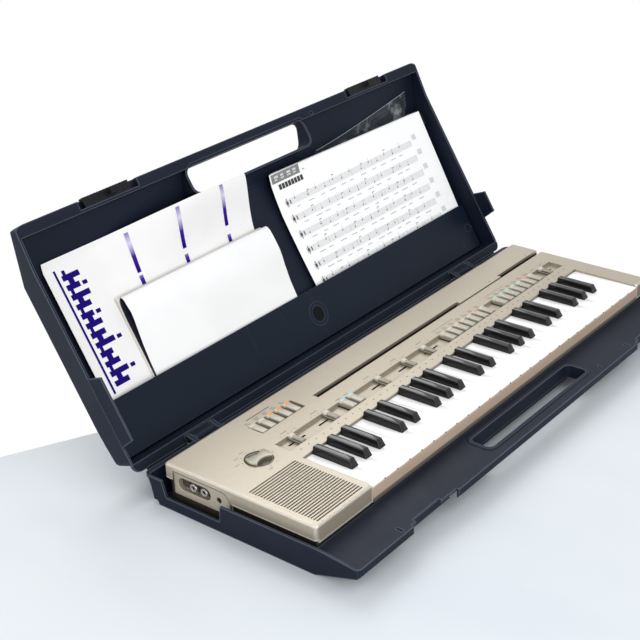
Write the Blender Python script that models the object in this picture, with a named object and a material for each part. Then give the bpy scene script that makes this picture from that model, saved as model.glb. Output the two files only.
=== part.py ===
"""Portable mini-key keyboard lying in its hinged carrying case, lid open.

Metres. +X runs to the player's right, +Y to the lid, +Z up. The origin is on the ground under
the middle of the tray. The lid is modelled shut, around its hinge axis, and turned open by its
parent empty. Every sub-part is one object, and what moves has its origin on its joint's axis.
"""
import math

import bmesh
import bpy
from mathutils import Matrix, Vector

mm = 0.001

# Clearances
GAP = 0.3 * mm
RUNNING = 0.4 * mm

# Keys
KEY_PITCH = 19.4 * mm
WHITE_KEYS = 26
KEY_SPACE = 0.5 * mm
WHITE_LENGTH = 78.7 * mm
WHITE_DROP = 2.5 * mm
KEY_HEIGHT = 8.0 * mm
STEM_DROP = 1.0 * mm
BLACK_RISE = 5.0 * mm
BLACK_WIDTH = 9.2 * mm
BLACK_TOP_WIDTH = 7.2 * mm
BLACK_LENGTH = 45.9 * mm
BLACK_FRONT_SLOPE = 3.8 * mm
BLACK_SIDE_ROOM = 0.7 * mm
KEY_TAIL = 13.7 * mm
PIVOT_BACK = 10.2 * mm
PIVOT_RADIUS = 2.0 * mm
KEY_DIP_DEG = 3.4

# Instrument housing
LEFT_CHEEK = 80.4 * mm
RIGHT_CHEEK = 24.4 * mm
BODY_DEPTH = 178.8 * mm
BODY_HEIGHT = 42.4 * mm
PANEL_EDGE = 79.8 * mm
SHELL = 2.5 * mm
BODY_CORNER = 3.5 * mm
TOP_FILLET = 2.2 * mm
SKIRT = 15.2 * mm
FRONT_SKIRT = 17.7 * mm
LOWER_INSET = 3.0 * mm
LOWER_NEST = 3.0 * mm
KEY_SIDE_ROOM = 0.3 * mm
SLIP_FACE = 0.1 * mm
SLIP_THICK = 0.7 * mm
SLIP_DROP = 3.8 * mm
LIP_PROUD = 0.4 * mm
LIP_TOP_DROP = 15.4 * mm
LIP_BOTTOM_DROP = 19.2 * mm

# Speaker grille
GRILLE_SLOTS = 24
GRILLE_PITCH = 3.3 * mm
GRILLE_SLOT = 1.5 * mm
GRILLE_FRONT = 5.0 * mm
GRILLE_SIDE = 8.0 * mm

# Control strip, bank well and card slot, measured from the housing's left front top corner
STRIP_LEFT = 82.9 * mm
STRIP_RIGHT = 22.7 * mm
STRIP_FRONT = 96.3 * mm
STRIP_WIDTH = 18.7 * mm
STRIP_DEPTH = 4.0 * mm
WELL_LEFT = 91.3 * mm
WELL_FRONT = 137.2 * mm
WELL_WIDTH = 64.4 * mm
WELL_REACH = 19.2 * mm
FLOOR = 2.0 * mm
SLOT_LEFT = 176.0 * mm
SLOT_FRONT = 137.3 * mm
SLOT_WIDTH = 7.2 * mm
SLOT_NARROW = 2.2 * mm
SLOT_DEPTH = 14.0 * mm
READER_FROM_RIGHT = 90.2 * mm
READER_LENGTH = 85.2 * mm

# Buttons
BUTTON_PITCH = 12.6 * mm
BUTTON_WIDTH = 7.6 * mm
BUTTON_RISE = 1.2 * mm
WELL_BUTTON_RISE = 0.3 * mm
BUTTON_END_ROOM = 0.6 * mm
TUNE_BUTTONS = 2
TUNE_LEFT = 180.1 * mm
RHYTHM_BUTTONS = 5
RHYTHM_LEFT = 1.9 * mm
VOICE_BUTTONS = 7
VOICE_RIGHT = 253.1 * mm
MODE_BUTTONS = 7
MODE_RIGHT = 149.1 * mm

# Sliders and the power switch: slot middle and the cap's place in it
SLIDER_MIDDLES = (105.5 * mm, 150.8 * mm, 236.4 * mm, 282.3 * mm, 328.4 * mm)
SLIDER_PLACES = (-1.2 * mm, 5.7 * mm, 4.6 * mm, 4.4 * mm, -6.2 * mm)
SLIDER_TRAVEL = 20.0 * mm
SLIDER_CAP = 7.5 * mm
SLIDER_RISE = 1.8 * mm
SLIDER_STEM = 4.0 * mm
SLIDER_SLOT = 2.0 * mm
POWER_FROM_RIGHT = 39.7 * mm
POWER_TRAVEL = 13.0 * mm

# Selector knob
KNOB_X = 55.4 * mm
KNOB_Y = 111.1 * mm
KNOB_RADIUS = 13.7 * mm
KNOB_WELL = 4.2 * mm
KNOB_RISE = 2.6 * mm
KNOB_WAIST = 8.4 * mm
KNOB_GRIP_END_DEG = 36.0
KNOB_STEM = 2.7 * mm
KNOB_TURN_DEG = -2.0

# Jack panel on the left end
JACK_FRONT = 98.0 * mm
JACK_REAR = 168.0 * mm
JACK_BLOCK = 13.0 * mm
JACK_DROP = 29.0 * mm
JACK_RECESS_MIDDLE = 142.7 * mm
JACK_RECESS_LENGTH = 40.0 * mm
JACK_RECESS_HEIGHT = 13.0 * mm
JACK_RECESS_DEPTH = 6.0 * mm
JACK_Z = 16.2 * mm
JACK_PLACES = (131.4 * mm, 144.6 * mm)
JACK_RADIUS = 4.4 * mm
JACK_BORE = 1.9 * mm
SIDE_HOLE_Y = 112.6 * mm
SIDE_HOLE_RADIUS = 3.1 * mm
JACK_PLATE_TOP = 5.6 * mm
JACK_PLATE_SUNK = 0.8 * mm
JACK_PLATE_ROUND = 12.0 * mm

# Case
WALL = 2.5 * mm
ROOM_LEFT = 5.5 * mm
ROOM_RIGHT = 18.3 * mm
ROOM_REAR = 15.7 * mm
ROOM_FRONT = 1.4 * mm
SHELF_DEPTH = 50.0 * mm
SHELF_Z = 25.8 * mm
RIM_Z = 29.9 * mm
REAR_DRAFT = 7.0 * mm
SIDE_DRAFT = 2.5 * mm
LIP_BOTTOM = 15.7 * mm
LIP_CHAMFER = 2.5 * mm
CORNER = 8.0 * mm
HANDLE_LENGTH = 190.0 * mm
HANDLE_WIDTH = 28.0 * mm
HANDLE_FROM_EDGE = 11.5 * mm
HANDLE_CORNER = 8.0 * mm
HANDLE_RIM = 1.2 * mm
HANDLE_TAPER = 3.0 * mm
RIB = 2.0 * mm
PEG_X = 111.0 * mm
PEG_FROM_EDGE = 8.6 * mm
PEG_RADIUS = 1.8 * mm

# Cut-outs of the tray's end walls, and the lid tabs that fill them
LEFT_CUT_FRONT = 104.0 * mm
LEFT_CUT_REAR = 176.5 * mm
RIGHT_CUT_FRONT = 128.0 * mm
RIGHT_CUT_REAR = 162.0 * mm
CUT_TAPER = 3.2 * mm
CUT_DEPTH = 18.2 * mm

# Hinge
HINGE_BEHIND = 8.0 * mm
HINGE_Z = 26.0 * mm
HINGE_X = 229.0 * mm
HINGE_WIDTH = 28.0 * mm
HINGE_PIN = 2.0 * mm
HINGE_BARREL = 5.0 * mm
HINGE_EAR = 5.0 * mm
LID_OPEN_DEG = 121.5
TRAY_FLANGE = 3.5 * mm
LID_FLANGE = 7.2 * mm
FLANGE_THICK = 2.6 * mm
FLANGE_CORNER = 9.0 * mm
REAR_CORNER = 4.8 * mm

# Lid
PAPER_ROOM = 6.5 * mm
LID_BACK_CORNER = 6.0 * mm
LID_SLOPE_LENGTH = 52.5 * mm
LID_EDGE = 9.4 * mm
LID_SIDE_DRAFT = 3.0 * mm
LID_CORNER = 20.0 * mm
FLANGE = 12.2 * mm
TONGUE = 2.0 * mm
POCKET_ABOVE_BODY = 1.0 * mm
POCKET_THICK = 1.6 * mm
POCKET_END_ROOM = 12.0 * mm
POCKET_LENGTH = 55.3 * mm
POCKET_FROM_REAR = 7.5 * mm
POCKET_SEAM_X = 1.5 * mm
POCKET_SEAM = 0.7 * mm
POCKET_NOTCH = 3.0 * mm
SEAT_RADIUS = 9.0 * mm
BOSS_RADIUS = 5.0 * mm
BOSS_FROM_EDGE = 2.0 * mm

# Latches
LATCH_PLACES = (-203.5 * mm, 215.5 * mm)
LATCH_LENGTH = 60.0 * mm
LATCH_DEPTH = 10.0 * mm
LATCH_HEIGHT = 6.2 * mm
LATCH_PROUD = 1.6 * mm
LATCH_BACK = 7.0 * mm
LATCH_LOCK = 11.0 * mm
LATCH_TONGUE = 2.0 * mm
HOOK_WIDTH = 11.0 * mm
HOOK_DROP = 6.2 * mm
HOOK_THICK = 2.4 * mm
HOOK_FOOT = 3.4 * mm
NOTCH_SIDE = 11.5 * mm
NOTCH_SHALLOW = 3.0 * mm
NOTCH_DEEP = 7.0 * mm
TOOTH = 2.6 * mm

# Papers in the pocket
BOOKLET = (297.0 * mm, 195.0 * mm, 2.4 * mm)
BOOKLET_LEFT = 22.5 * mm
LEAFLET = (217.0 * mm, 136.0 * mm, 1.4 * mm)
LEAFLET_LEFT = 85.5 * mm
CARDS = (285.0 * mm, 188.0 * mm, 3.2 * mm)
CARDS_RIGHT = 17.2 * mm
PAPER_SPACE = 0.4 * mm

# Everything below follows from the sizes above
BODY_WIDTH = LEFT_CHEEK + WHITE_KEYS * KEY_PITCH + RIGHT_CHEEK
CASE_WIDTH = BODY_WIDTH + ROOM_LEFT + ROOM_RIGHT + 2 * WALL
CASE_DEPTH = SHELF_DEPTH + BODY_DEPTH + ROOM_REAR + WALL
POCKET_WIDTH = CASE_WIDTH - 2 * POCKET_END_ROOM
SIDE = CASE_WIDTH / 2
FRONT = -CASE_DEPTH / 2
REAR = CASE_DEPTH / 2
BODY_LEFT = -SIDE + WALL + ROOM_LEFT
BODY_RIGHT = BODY_LEFT + BODY_WIDTH
BODY_FRONT = FRONT + SHELF_DEPTH
BODY_REAR = BODY_FRONT + BODY_DEPTH
BODY_BOTTOM = WALL + GAP
BODY_TOP = BODY_BOTTOM + BODY_HEIGHT
PLATE_UNDER = BODY_TOP - SHELL
SEAM_Z = BODY_TOP - SKIRT
KEYS_LEFT = BODY_LEFT + LEFT_CHEEK
KEYS_RIGHT = KEYS_LEFT + WHITE_KEYS * KEY_PITCH
KEY_FRONT = BODY_FRONT + PANEL_EDGE - WHITE_LENGTH
KEY_REAR = BODY_FRONT + PANEL_EDGE - 2 * RUNNING
KEY_TOP = BODY_TOP - WHITE_DROP
KEY_BOTTOM = KEY_TOP - KEY_HEIGHT
STEM_TOP = min(KEY_TOP, PLATE_UNDER) - STEM_DROP
PIVOT_Y = BODY_FRONT + PANEL_EDGE + PIVOT_BACK
PIVOT_Z = KEY_BOTTOM
BLACK_TOP = BODY_TOP + BLACK_RISE
BLACK_FRONT = KEY_REAR - BLACK_LENGTH
STRIP_Y = BODY_FRONT + STRIP_FRONT
STRIP_FLOOR = BODY_TOP - STRIP_DEPTH
STRIP_END = BODY_RIGHT - STRIP_RIGHT
SLOT_Y = STRIP_Y + 0.57 * STRIP_WIDTH
HINGE_Y = REAR + HINGE_BEHIND
LID_RIM = RIM_Z + GAP
LID_CEILING = BLACK_TOP + PAPER_ROOM
LID_TOP = LID_CEILING + WALL
LID_SHELF = SHELF_Z + GAP
SHELF_REAR = BODY_FRONT - ROOM_FRONT - WALL
RAMP = SHELF_REAR - 2.5 * mm
HANDLE_Y = FRONT + HANDLE_FROM_EDGE + HANDLE_WIDTH / 2
POCKET_Z = BODY_TOP + POCKET_ABOVE_BODY

# Notes that have a black key on their right, and how far that key lies off the white joint
BLACK_OFFSETS = {"F": -1.6 * mm, "G": 0.0, "A": 1.6 * mm, "C": -1.3 * mm, "D": 1.3 * mm}
SCALE = "FGABCDE"


def clear_scene():
    for item in list(bpy.data.objects):
        bpy.data.objects.remove(item, do_unlink=True)


def material(name, colour, roughness, metallic=0.0):
    made = bpy.data.materials.new(name)
    made.use_nodes = True
    shader = made.node_tree.nodes["Principled BSDF"]
    shader.inputs["Base Color"].default_value = (*colour, 1.0)
    shader.inputs["Roughness"].default_value = roughness
    shader.inputs["Metallic"].default_value = metallic
    made.diffuse_color = (*colour, 1.0)
    return made


def loft(mesh, rings):
    """A closed solid through rings of as many points each."""
    rows = [[mesh.verts.new(point) for point in ring] for ring in rings]
    count = len(rows[0])
    for lower, upper in zip(rows, rows[1:]):
        for i in range(count):
            j = (i + 1) % count
            mesh.faces.new((lower[i], lower[j], upper[j], upper[i]))
    mesh.faces.new(rows[0][::-1])
    mesh.faces.new(rows[-1])
    return rows


def box(mesh, low, high):
    ring = [(low[0], low[1]), (high[0], low[1]), (high[0], high[1]), (low[0], high[1])]
    return loft(mesh, [[(x, y, z) for x, y in ring] for z in (low[2], high[2])])


def along_x(mesh, outline, start, end):
    """A prism along X of an outline in Y and Z."""
    return loft(mesh, [[(x, y, z) for y, z in outline] for x in (start, end)])


def upright(mesh, outline, start, end):
    """A prism along Z of an outline in X and Y."""
    return loft(mesh, [[(x, y, z) for x, y in outline] for z in (start, end)])


def arc(centre, radius, start_deg, end_deg, steps):
    points = []
    for i in range(steps + 1):
        angle = math.radians(start_deg + (end_deg - start_deg) * i / steps)
        points.append((centre[0] + radius * math.cos(angle), centre[1] + radius * math.sin(angle)))
    return points


def round_rect(left, front, right, rear, radius, steps=4):
    """A rectangle with round corners, counter-clockwise."""
    points = []
    points += arc((left + radius, front + radius), radius, 180, 270, steps)
    points += arc((right - radius, front + radius), radius, 270, 360, steps)
    points += arc((right - radius, rear - radius), radius, 0, 90, steps)
    points += arc((left + radius, rear - radius), radius, 90, 180, steps)
    return points


def turned(mesh, profile, centre, steps=32):
    """A solid turned about an upright axis from (radius, z) points, first and last on the axis."""
    rings = []
    for radius, z in profile[1:-1]:
        ring = arc(centre, radius, 0, 360 - 360 / steps, steps - 1)
        rings.append([(x, y, z) for x, y in ring])
    loft(mesh, rings)


def turned_along_x(mesh, start, end, radius, middle, steps=20):
    """A round bar along X about the point middle in Y and Z."""
    ring = arc(middle, radius, 0, 360 - 360 / steps, steps - 1)
    along_x(mesh, ring, start, end)


def soften(mesh, edges, width, segments=2):
    bmesh.ops.bevel(mesh, geom=edges, offset=width, segments=segments, affect="EDGES", profile=0.5)


def edges_at(mesh, test):
    """Edges whose two ends both pass the test."""
    return [edge for edge in mesh.edges if all(test(vert.co) for vert in edge.verts)]


def add_object(name, mesh, finish, origin=(0, 0, 0), parent=None):
    """The mesh as an object whose origin is the given point; a parent sits at that same point."""
    bmesh.ops.translate(mesh, verts=mesh.verts, vec=-Vector(origin))
    bmesh.ops.recalc_face_normals(mesh, faces=mesh.faces)
    data = bpy.data.meshes.new(name)
    mesh.to_mesh(data)
    mesh.free()
    item = bpy.data.objects.new(name, data)
    bpy.context.scene.collection.objects.link(item)
    item.data.materials.append(finish)
    if parent:
        item.parent = parent
    else:
        item.location = origin
    return item


def add_cutter(name, mesh, origin=(0, 0, 0), parent=None):
    """A helper solid for a Boolean: not a sub-part."""
    item = add_object(name, mesh, FINISHES["helper"], origin, parent)
    item.hide_render = True
    item.display_type = "WIRE"
    return item


def combine(item, other, operation):
    step = item.modifiers.new(other.name, "BOOLEAN")
    step.operation = operation
    step.solver = "EXACT"
    step.use_self = operation == "UNION"
    step.object = other


def black_keys():
    """Middle X of each black key, with the number of the white key on its left."""
    places = []
    for i in range(WHITE_KEYS - 1):
        note = SCALE[i % len(SCALE)]
        if note in BLACK_OFFSETS:
            places.append((i, KEYS_LEFT + (i + 1) * KEY_PITCH + BLACK_OFFSETS[note]))
    return places


def extrude_tail(mesh, front_y, stem_top):
    """Draws the lowest rear face of a key back under the panel as its stem."""
    rear = [
        face for face in mesh.faces
        if all(abs(vert.co.y - front_y) < 1e-6 and vert.co.z < stem_top + 1e-6 for vert in face.verts)
    ]
    drawn = bmesh.ops.extrude_face_region(mesh, geom=rear)
    bmesh.ops.delete(mesh, geom=rear, context="FACES_ONLY")
    verts = [item for item in drawn["geom"] if isinstance(item, bmesh.types.BMVert)]
    bmesh.ops.translate(mesh, verts=verts, vec=(0, KEY_TAIL, 0))


def make_pivot_cutter():
    """The rod-shaped groove that every key has under its tail, where it rocks on the pivot rail."""
    mesh = bmesh.new()
    turned_along_x(mesh, KEYS_LEFT, KEYS_RIGHT, PIVOT_RADIUS + GAP, (PIVOT_Y, PIVOT_Z), 16)
    return add_cutter("key_pivot_groove", mesh)


def make_white_key(index, blacks, groove):
    left = KEYS_LEFT + index * KEY_PITCH + KEY_SPACE / 2
    right = left + KEY_PITCH - KEY_SPACE
    half = BLACK_WIDTH / 2 + BLACK_SIDE_ROOM
    step = BLACK_FRONT - BLACK_SIDE_ROOM
    rear_left = blacks[index - 1] + half if index - 1 in blacks else left
    rear_right = blacks[index] - half if index in blacks else right
    outline = [(left, KEY_FRONT), (right, KEY_FRONT)]
    if rear_right < right:
        outline += [(right, step), (rear_right, step)]
    outline += [(rear_right, KEY_REAR), (rear_left, KEY_REAR)]
    if rear_left > left:
        outline += [(rear_left, step), (left, step)]
    mesh = bmesh.new()
    loft(mesh, [[(x, y, z) for x, y in outline] for z in (KEY_BOTTOM, STEM_TOP, KEY_TOP)])
    extrude_tail(mesh, KEY_REAR, STEM_TOP)
    front = edges_at(mesh, lambda p: p.y < KEY_FRONT + 1e-6 and p.z > KEY_TOP - 1e-6)
    soften(mesh, front, 0.6 * mm)
    origin = ((left + right) / 2, PIVOT_Y, PIVOT_Z)
    key = add_object(f"white_key_{index + 1:02d}", mesh, FINISHES["white_key"], origin)
    combine(key, groove, "DIFFERENCE")


def make_black_key(number, middle, groove):
    def ring(width, front, z):
        half = width / 2
        corners = ((-half, front), (half, front), (half, KEY_REAR), (-half, KEY_REAR))
        return [(middle + x, y, z) for x, y in corners]

    lip = KEY_TOP + 0.5 * mm
    mesh = bmesh.new()
    loft(mesh, [
        ring(BLACK_WIDTH, BLACK_FRONT, KEY_BOTTOM),
        ring(BLACK_WIDTH, BLACK_FRONT, STEM_TOP),
        ring(BLACK_WIDTH, BLACK_FRONT, lip),
        ring(BLACK_TOP_WIDTH, BLACK_FRONT + BLACK_FRONT_SLOPE, BLACK_TOP),
    ])
    extrude_tail(mesh, KEY_REAR, STEM_TOP)
    top = edges_at(mesh, lambda p: p.z > BLACK_TOP - 1e-6)
    soften(mesh, top, 0.7 * mm)
    origin = (middle, PIVOT_Y, PIVOT_Z)
    key = add_object(f"black_key_{number:02d}", mesh, FINISHES["black_key"], origin)
    combine(key, groove, "DIFFERENCE")


def button_places():
    """Left edge, front edge, depth and height above the housing of every panel button."""
    places = []
    length = STRIP_WIDTH - 2 * BUTTON_END_ROOM
    banks = (
        (BODY_LEFT + TUNE_LEFT, TUNE_BUTTONS),
        (BODY_RIGHT - VOICE_RIGHT, VOICE_BUTTONS),
        (BODY_RIGHT - MODE_RIGHT, MODE_BUTTONS),
    )
    for start, count in banks:
        for i in range(count):
            places.append((start + i * BUTTON_PITCH, STRIP_Y + BUTTON_END_ROOM, length, BUTTON_RISE))
    start = BODY_LEFT + WELL_LEFT + RHYTHM_LEFT
    for i in range(RHYTHM_BUTTONS):
        front = BODY_FRONT + WELL_FRONT + BUTTON_END_ROOM
        length = WELL_REACH - 2 * BUTTON_END_ROOM
        places.append((start + i * BUTTON_PITCH, front, length, WELL_BUTTON_RISE))
    return places


def slider_slots():
    """Middle of each slot in the strip's floor, the travel in it and the cap's place from its middle."""
    slots = []
    for middle, place in zip(SLIDER_MIDDLES, SLIDER_PLACES):
        slots.append((BODY_LEFT + middle, SLIDER_TRAVEL, place))
    slots.append((BODY_RIGHT - POWER_FROM_RIGHT, POWER_TRAVEL, -POWER_TRAVEL / 2))
    return slots


def card_slot_outline():
    """The card slot seen from above: wide, narrow under the reader's cover, wide again, open at the right."""
    front = BODY_FRONT + SLOT_FRONT
    rear = front + SLOT_WIDTH
    narrow = front + SLOT_NARROW
    reader_right = BODY_RIGHT - READER_FROM_RIGHT
    reader_left = reader_right - READER_LENGTH
    past_end = BODY_RIGHT + SHELL
    return [
        (BODY_LEFT + SLOT_LEFT, front), (past_end, front), (past_end, rear), (reader_right, rear),
        (reader_right, narrow), (reader_left, narrow), (reader_left, rear), (BODY_LEFT + SLOT_LEFT, rear),
    ]


def jack_plate():
    """Outline in Y and Z of the sunk plate round the sockets, with its large round front corner."""
    front = BODY_FRONT + JACK_FRONT
    rear = BODY_FRONT + JACK_REAR
    top = BODY_TOP - JACK_PLATE_TOP
    bottom = BODY_TOP - JACK_DROP - SHELL
    points = arc((rear - SHELL, top - SHELL), SHELL, 0, 90, 3)
    points += arc((front + JACK_PLATE_ROUND, top - JACK_PLATE_ROUND), JACK_PLATE_ROUND, 90, 180, 8)
    return points + [(front, bottom), (rear, bottom)]


def make_upper_case():
    """Top housing: a thin shell with the sunk strip, wells, card slot, grille and jack block."""
    mesh = bmesh.new()
    box(mesh, (BODY_LEFT, BODY_FRONT, SEAM_Z), (BODY_RIGHT, BODY_REAR, BODY_TOP))
    corners = [edge for edge in mesh.edges if abs(edge.verts[0].co.z - edge.verts[1].co.z) > 1e-3]
    soften(mesh, corners, BODY_CORNER, 4)
    soften(mesh, edges_at(mesh, lambda p: p.z > BODY_TOP - 1e-6), TOP_FILLET, 3)
    case = add_object("upper_case", mesh, FINISHES["champagne"])

    mesh = bmesh.new()
    low = (BODY_LEFT + SHELL, BODY_FRONT + SHELL, SEAM_Z - SHELL)
    box(mesh, low, (BODY_RIGHT - SHELL, BODY_REAR - SHELL, PLATE_UNDER))
    combine(case, add_cutter("upper_case_inside", mesh), "DIFFERENCE")

    mesh = bmesh.new()
    seat = BODY_TOP - 0.5 * mm
    strip_under = STRIP_FLOOR - FLOOR
    box(mesh, (BODY_LEFT + STRIP_LEFT - FLOOR, STRIP_Y - 1.6 * mm, strip_under),
        (STRIP_END + FLOOR, STRIP_Y + STRIP_WIDTH + FLOOR, seat))
    box(mesh, (BODY_LEFT + WELL_LEFT - FLOOR, BODY_FRONT + WELL_FRONT - FLOOR, strip_under),
        (BODY_LEFT + WELL_LEFT + WELL_WIDTH + FLOOR, BODY_FRONT + WELL_FRONT + WELL_REACH + FLOOR, seat))
    box(mesh, (BODY_LEFT + SLOT_LEFT - FLOOR, BODY_FRONT + SLOT_FRONT - FLOOR, BODY_TOP - SLOT_DEPTH - FLOOR),
        (BODY_RIGHT - 1.0 * mm, BODY_FRONT + SLOT_FRONT + SLOT_WIDTH + FLOOR, seat))
    well_under = BODY_TOP - KNOB_WELL - FLOOR
    ring = KNOB_RADIUS + RUNNING + FLOOR
    turned(mesh, [(0, well_under), (ring, well_under), (ring, seat), (0, seat)],
           (BODY_LEFT + KNOB_X, BODY_FRONT + KNOB_Y))
    box(mesh, (BODY_LEFT + 1.2 * mm, BODY_FRONT + JACK_FRONT + 1.2 * mm, BODY_TOP - JACK_DROP),
        (BODY_LEFT + JACK_BLOCK, BODY_FRONT + JACK_REAR, seat))
    for edge, side in ((KEYS_LEFT - KEY_SIDE_ROOM, -1), (KEYS_RIGHT + KEY_SIDE_ROOM, 1)):
        xs = sorted((edge - side * 1.0 * mm, edge + side * SHELL))
        box(mesh, (xs[0], BODY_FRONT + 1.2 * mm, BODY_TOP - FRONT_SKIRT),
            (xs[1], BODY_FRONT + PANEL_EDGE - 1.0 * mm, seat))
    combine(case, add_cutter("upper_case_inner_walls", mesh), "UNION")

    mesh = bmesh.new()
    left = BODY_LEFT + BODY_CORNER
    cheek_left = KEYS_LEFT - KEY_SIDE_ROOM
    cheek_right = KEYS_RIGHT + KEY_SIDE_ROOM
    floor_z = BODY_TOP - FRONT_SKIRT
    box(mesh, (left, BODY_FRONT, floor_z), (cheek_left, BODY_FRONT + SHELL, SEAM_Z + SHELL))
    box(mesh, (cheek_right, BODY_FRONT, floor_z),
        (BODY_RIGHT - BODY_CORNER, BODY_FRONT + SHELL, SEAM_Z + SHELL))
    panel_front = BODY_FRONT + JACK_FRONT
    outline = round_rect(panel_front, BODY_TOP - JACK_DROP, BODY_FRONT + JACK_REAR, SEAM_Z + SHELL,
                         1.0 * mm, 2)
    along_x(mesh, outline, BODY_LEFT, BODY_LEFT + 2 * SHELL)
    combine(case, add_cutter("upper_case_lower_skirts", mesh), "UNION")

    mesh = bmesh.new()
    box(mesh, (cheek_left, BODY_FRONT - SHELL, SEAM_Z - SHELL * 2),
        (cheek_right, BODY_FRONT + PANEL_EDGE, BODY_TOP + SHELL))
    box(mesh, (BODY_LEFT + STRIP_LEFT, STRIP_Y, STRIP_FLOOR),
        (STRIP_END, STRIP_Y + STRIP_WIDTH, BODY_TOP + SHELL))
    box(mesh, (BODY_LEFT + WELL_LEFT, BODY_FRONT + WELL_FRONT, STRIP_FLOOR),
        (BODY_LEFT + WELL_LEFT + WELL_WIDTH, BODY_FRONT + WELL_FRONT + WELL_REACH, BODY_TOP + SHELL))
    upright(mesh, card_slot_outline(), BODY_TOP - SLOT_DEPTH, BODY_TOP + SHELL)
    well = KNOB_RADIUS + RUNNING
    bore = KNOB_STEM + GAP
    floor_z = BODY_TOP - KNOB_WELL
    turned(mesh, [(0, well_under - SHELL), (bore, well_under - SHELL), (bore, floor_z), (well, floor_z),
                  (well, BODY_TOP + SHELL), (0, BODY_TOP + SHELL)], (BODY_LEFT + KNOB_X, BODY_FRONT + KNOB_Y))
    for i in range(GRILLE_SLOTS):
        front = BODY_FRONT + GRILLE_FRONT + i * GRILLE_PITCH
        box(mesh, (BODY_LEFT + GRILLE_SIDE, front, PLATE_UNDER - SHELL),
            (KEYS_LEFT - GRILLE_SIDE, front + GRILLE_SLOT, BODY_TOP + SHELL))
    recess = round_rect(
        BODY_FRONT + JACK_RECESS_MIDDLE - JACK_RECESS_LENGTH / 2, BODY_TOP - JACK_Z - JACK_RECESS_HEIGHT / 2,
        BODY_FRONT + JACK_RECESS_MIDDLE + JACK_RECESS_LENGTH / 2, BODY_TOP - JACK_Z + JACK_RECESS_HEIGHT / 2,
        JACK_RECESS_HEIGHT / 2 - 0.1 * mm, 5)
    along_x(mesh, recess, BODY_LEFT - SHELL, BODY_LEFT + JACK_RECESS_DEPTH)
    turned_along_x(mesh, BODY_LEFT - SHELL, BODY_LEFT + JACK_RECESS_DEPTH, SIDE_HOLE_RADIUS,
                   (BODY_FRONT + SIDE_HOLE_Y, BODY_TOP - JACK_Z - 0.6 * mm), 16)
    combine(case, add_cutter("upper_case_openings", mesh), "DIFFERENCE")

    mesh = bmesh.new()
    along_x(mesh, jack_plate(), BODY_LEFT - SHELL, BODY_LEFT + JACK_PLATE_SUNK)
    combine(case, add_cutter("jack_plate", mesh), "DIFFERENCE")

    mesh = bmesh.new()
    for middle, travel, _ in slider_slots():
        half = (travel + SLIDER_STEM) / 2 + GAP
        box(mesh, (middle - half, SLOT_Y - SLIDER_SLOT / 2, strip_under - SHELL),
            (middle + half, SLOT_Y + SLIDER_SLOT / 2, STRIP_FLOOR + 0.5 * mm))
    combine(case, add_cutter("slider_slots", mesh), "DIFFERENCE")

    mesh = bmesh.new()
    for left, front, length, rise in button_places():
        rows = box(mesh, (left, front, STRIP_FLOOR - 0.5 * mm),
                   (left + BUTTON_WIDTH, front + length, BODY_TOP + rise))
        front_top = [vert for vert in rows[1] if vert.co.y < front + 1e-6]
        bmesh.ops.translate(mesh, verts=front_top, vec=(0, 0.8 * mm, -0.6 * mm))
    for y in JACK_PLACES:
        middle = (BODY_FRONT + y, BODY_TOP - JACK_Z)
        turned_along_x(mesh, BODY_LEFT + 1.6 * mm, BODY_LEFT + JACK_RECESS_DEPTH + 1.0 * mm,
                       JACK_RADIUS, middle, 16)
    combine(case, add_cutter("buttons_and_jacks", mesh), "UNION")

    mesh = bmesh.new()
    for y in JACK_PLACES:
        middle = (BODY_FRONT + y, BODY_TOP - JACK_Z)
        turned_along_x(mesh, BODY_LEFT, BODY_LEFT + JACK_RECESS_DEPTH, JACK_BORE, middle, 12)
    combine(case, add_cutter("jack_bores", mesh), "DIFFERENCE")


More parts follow.
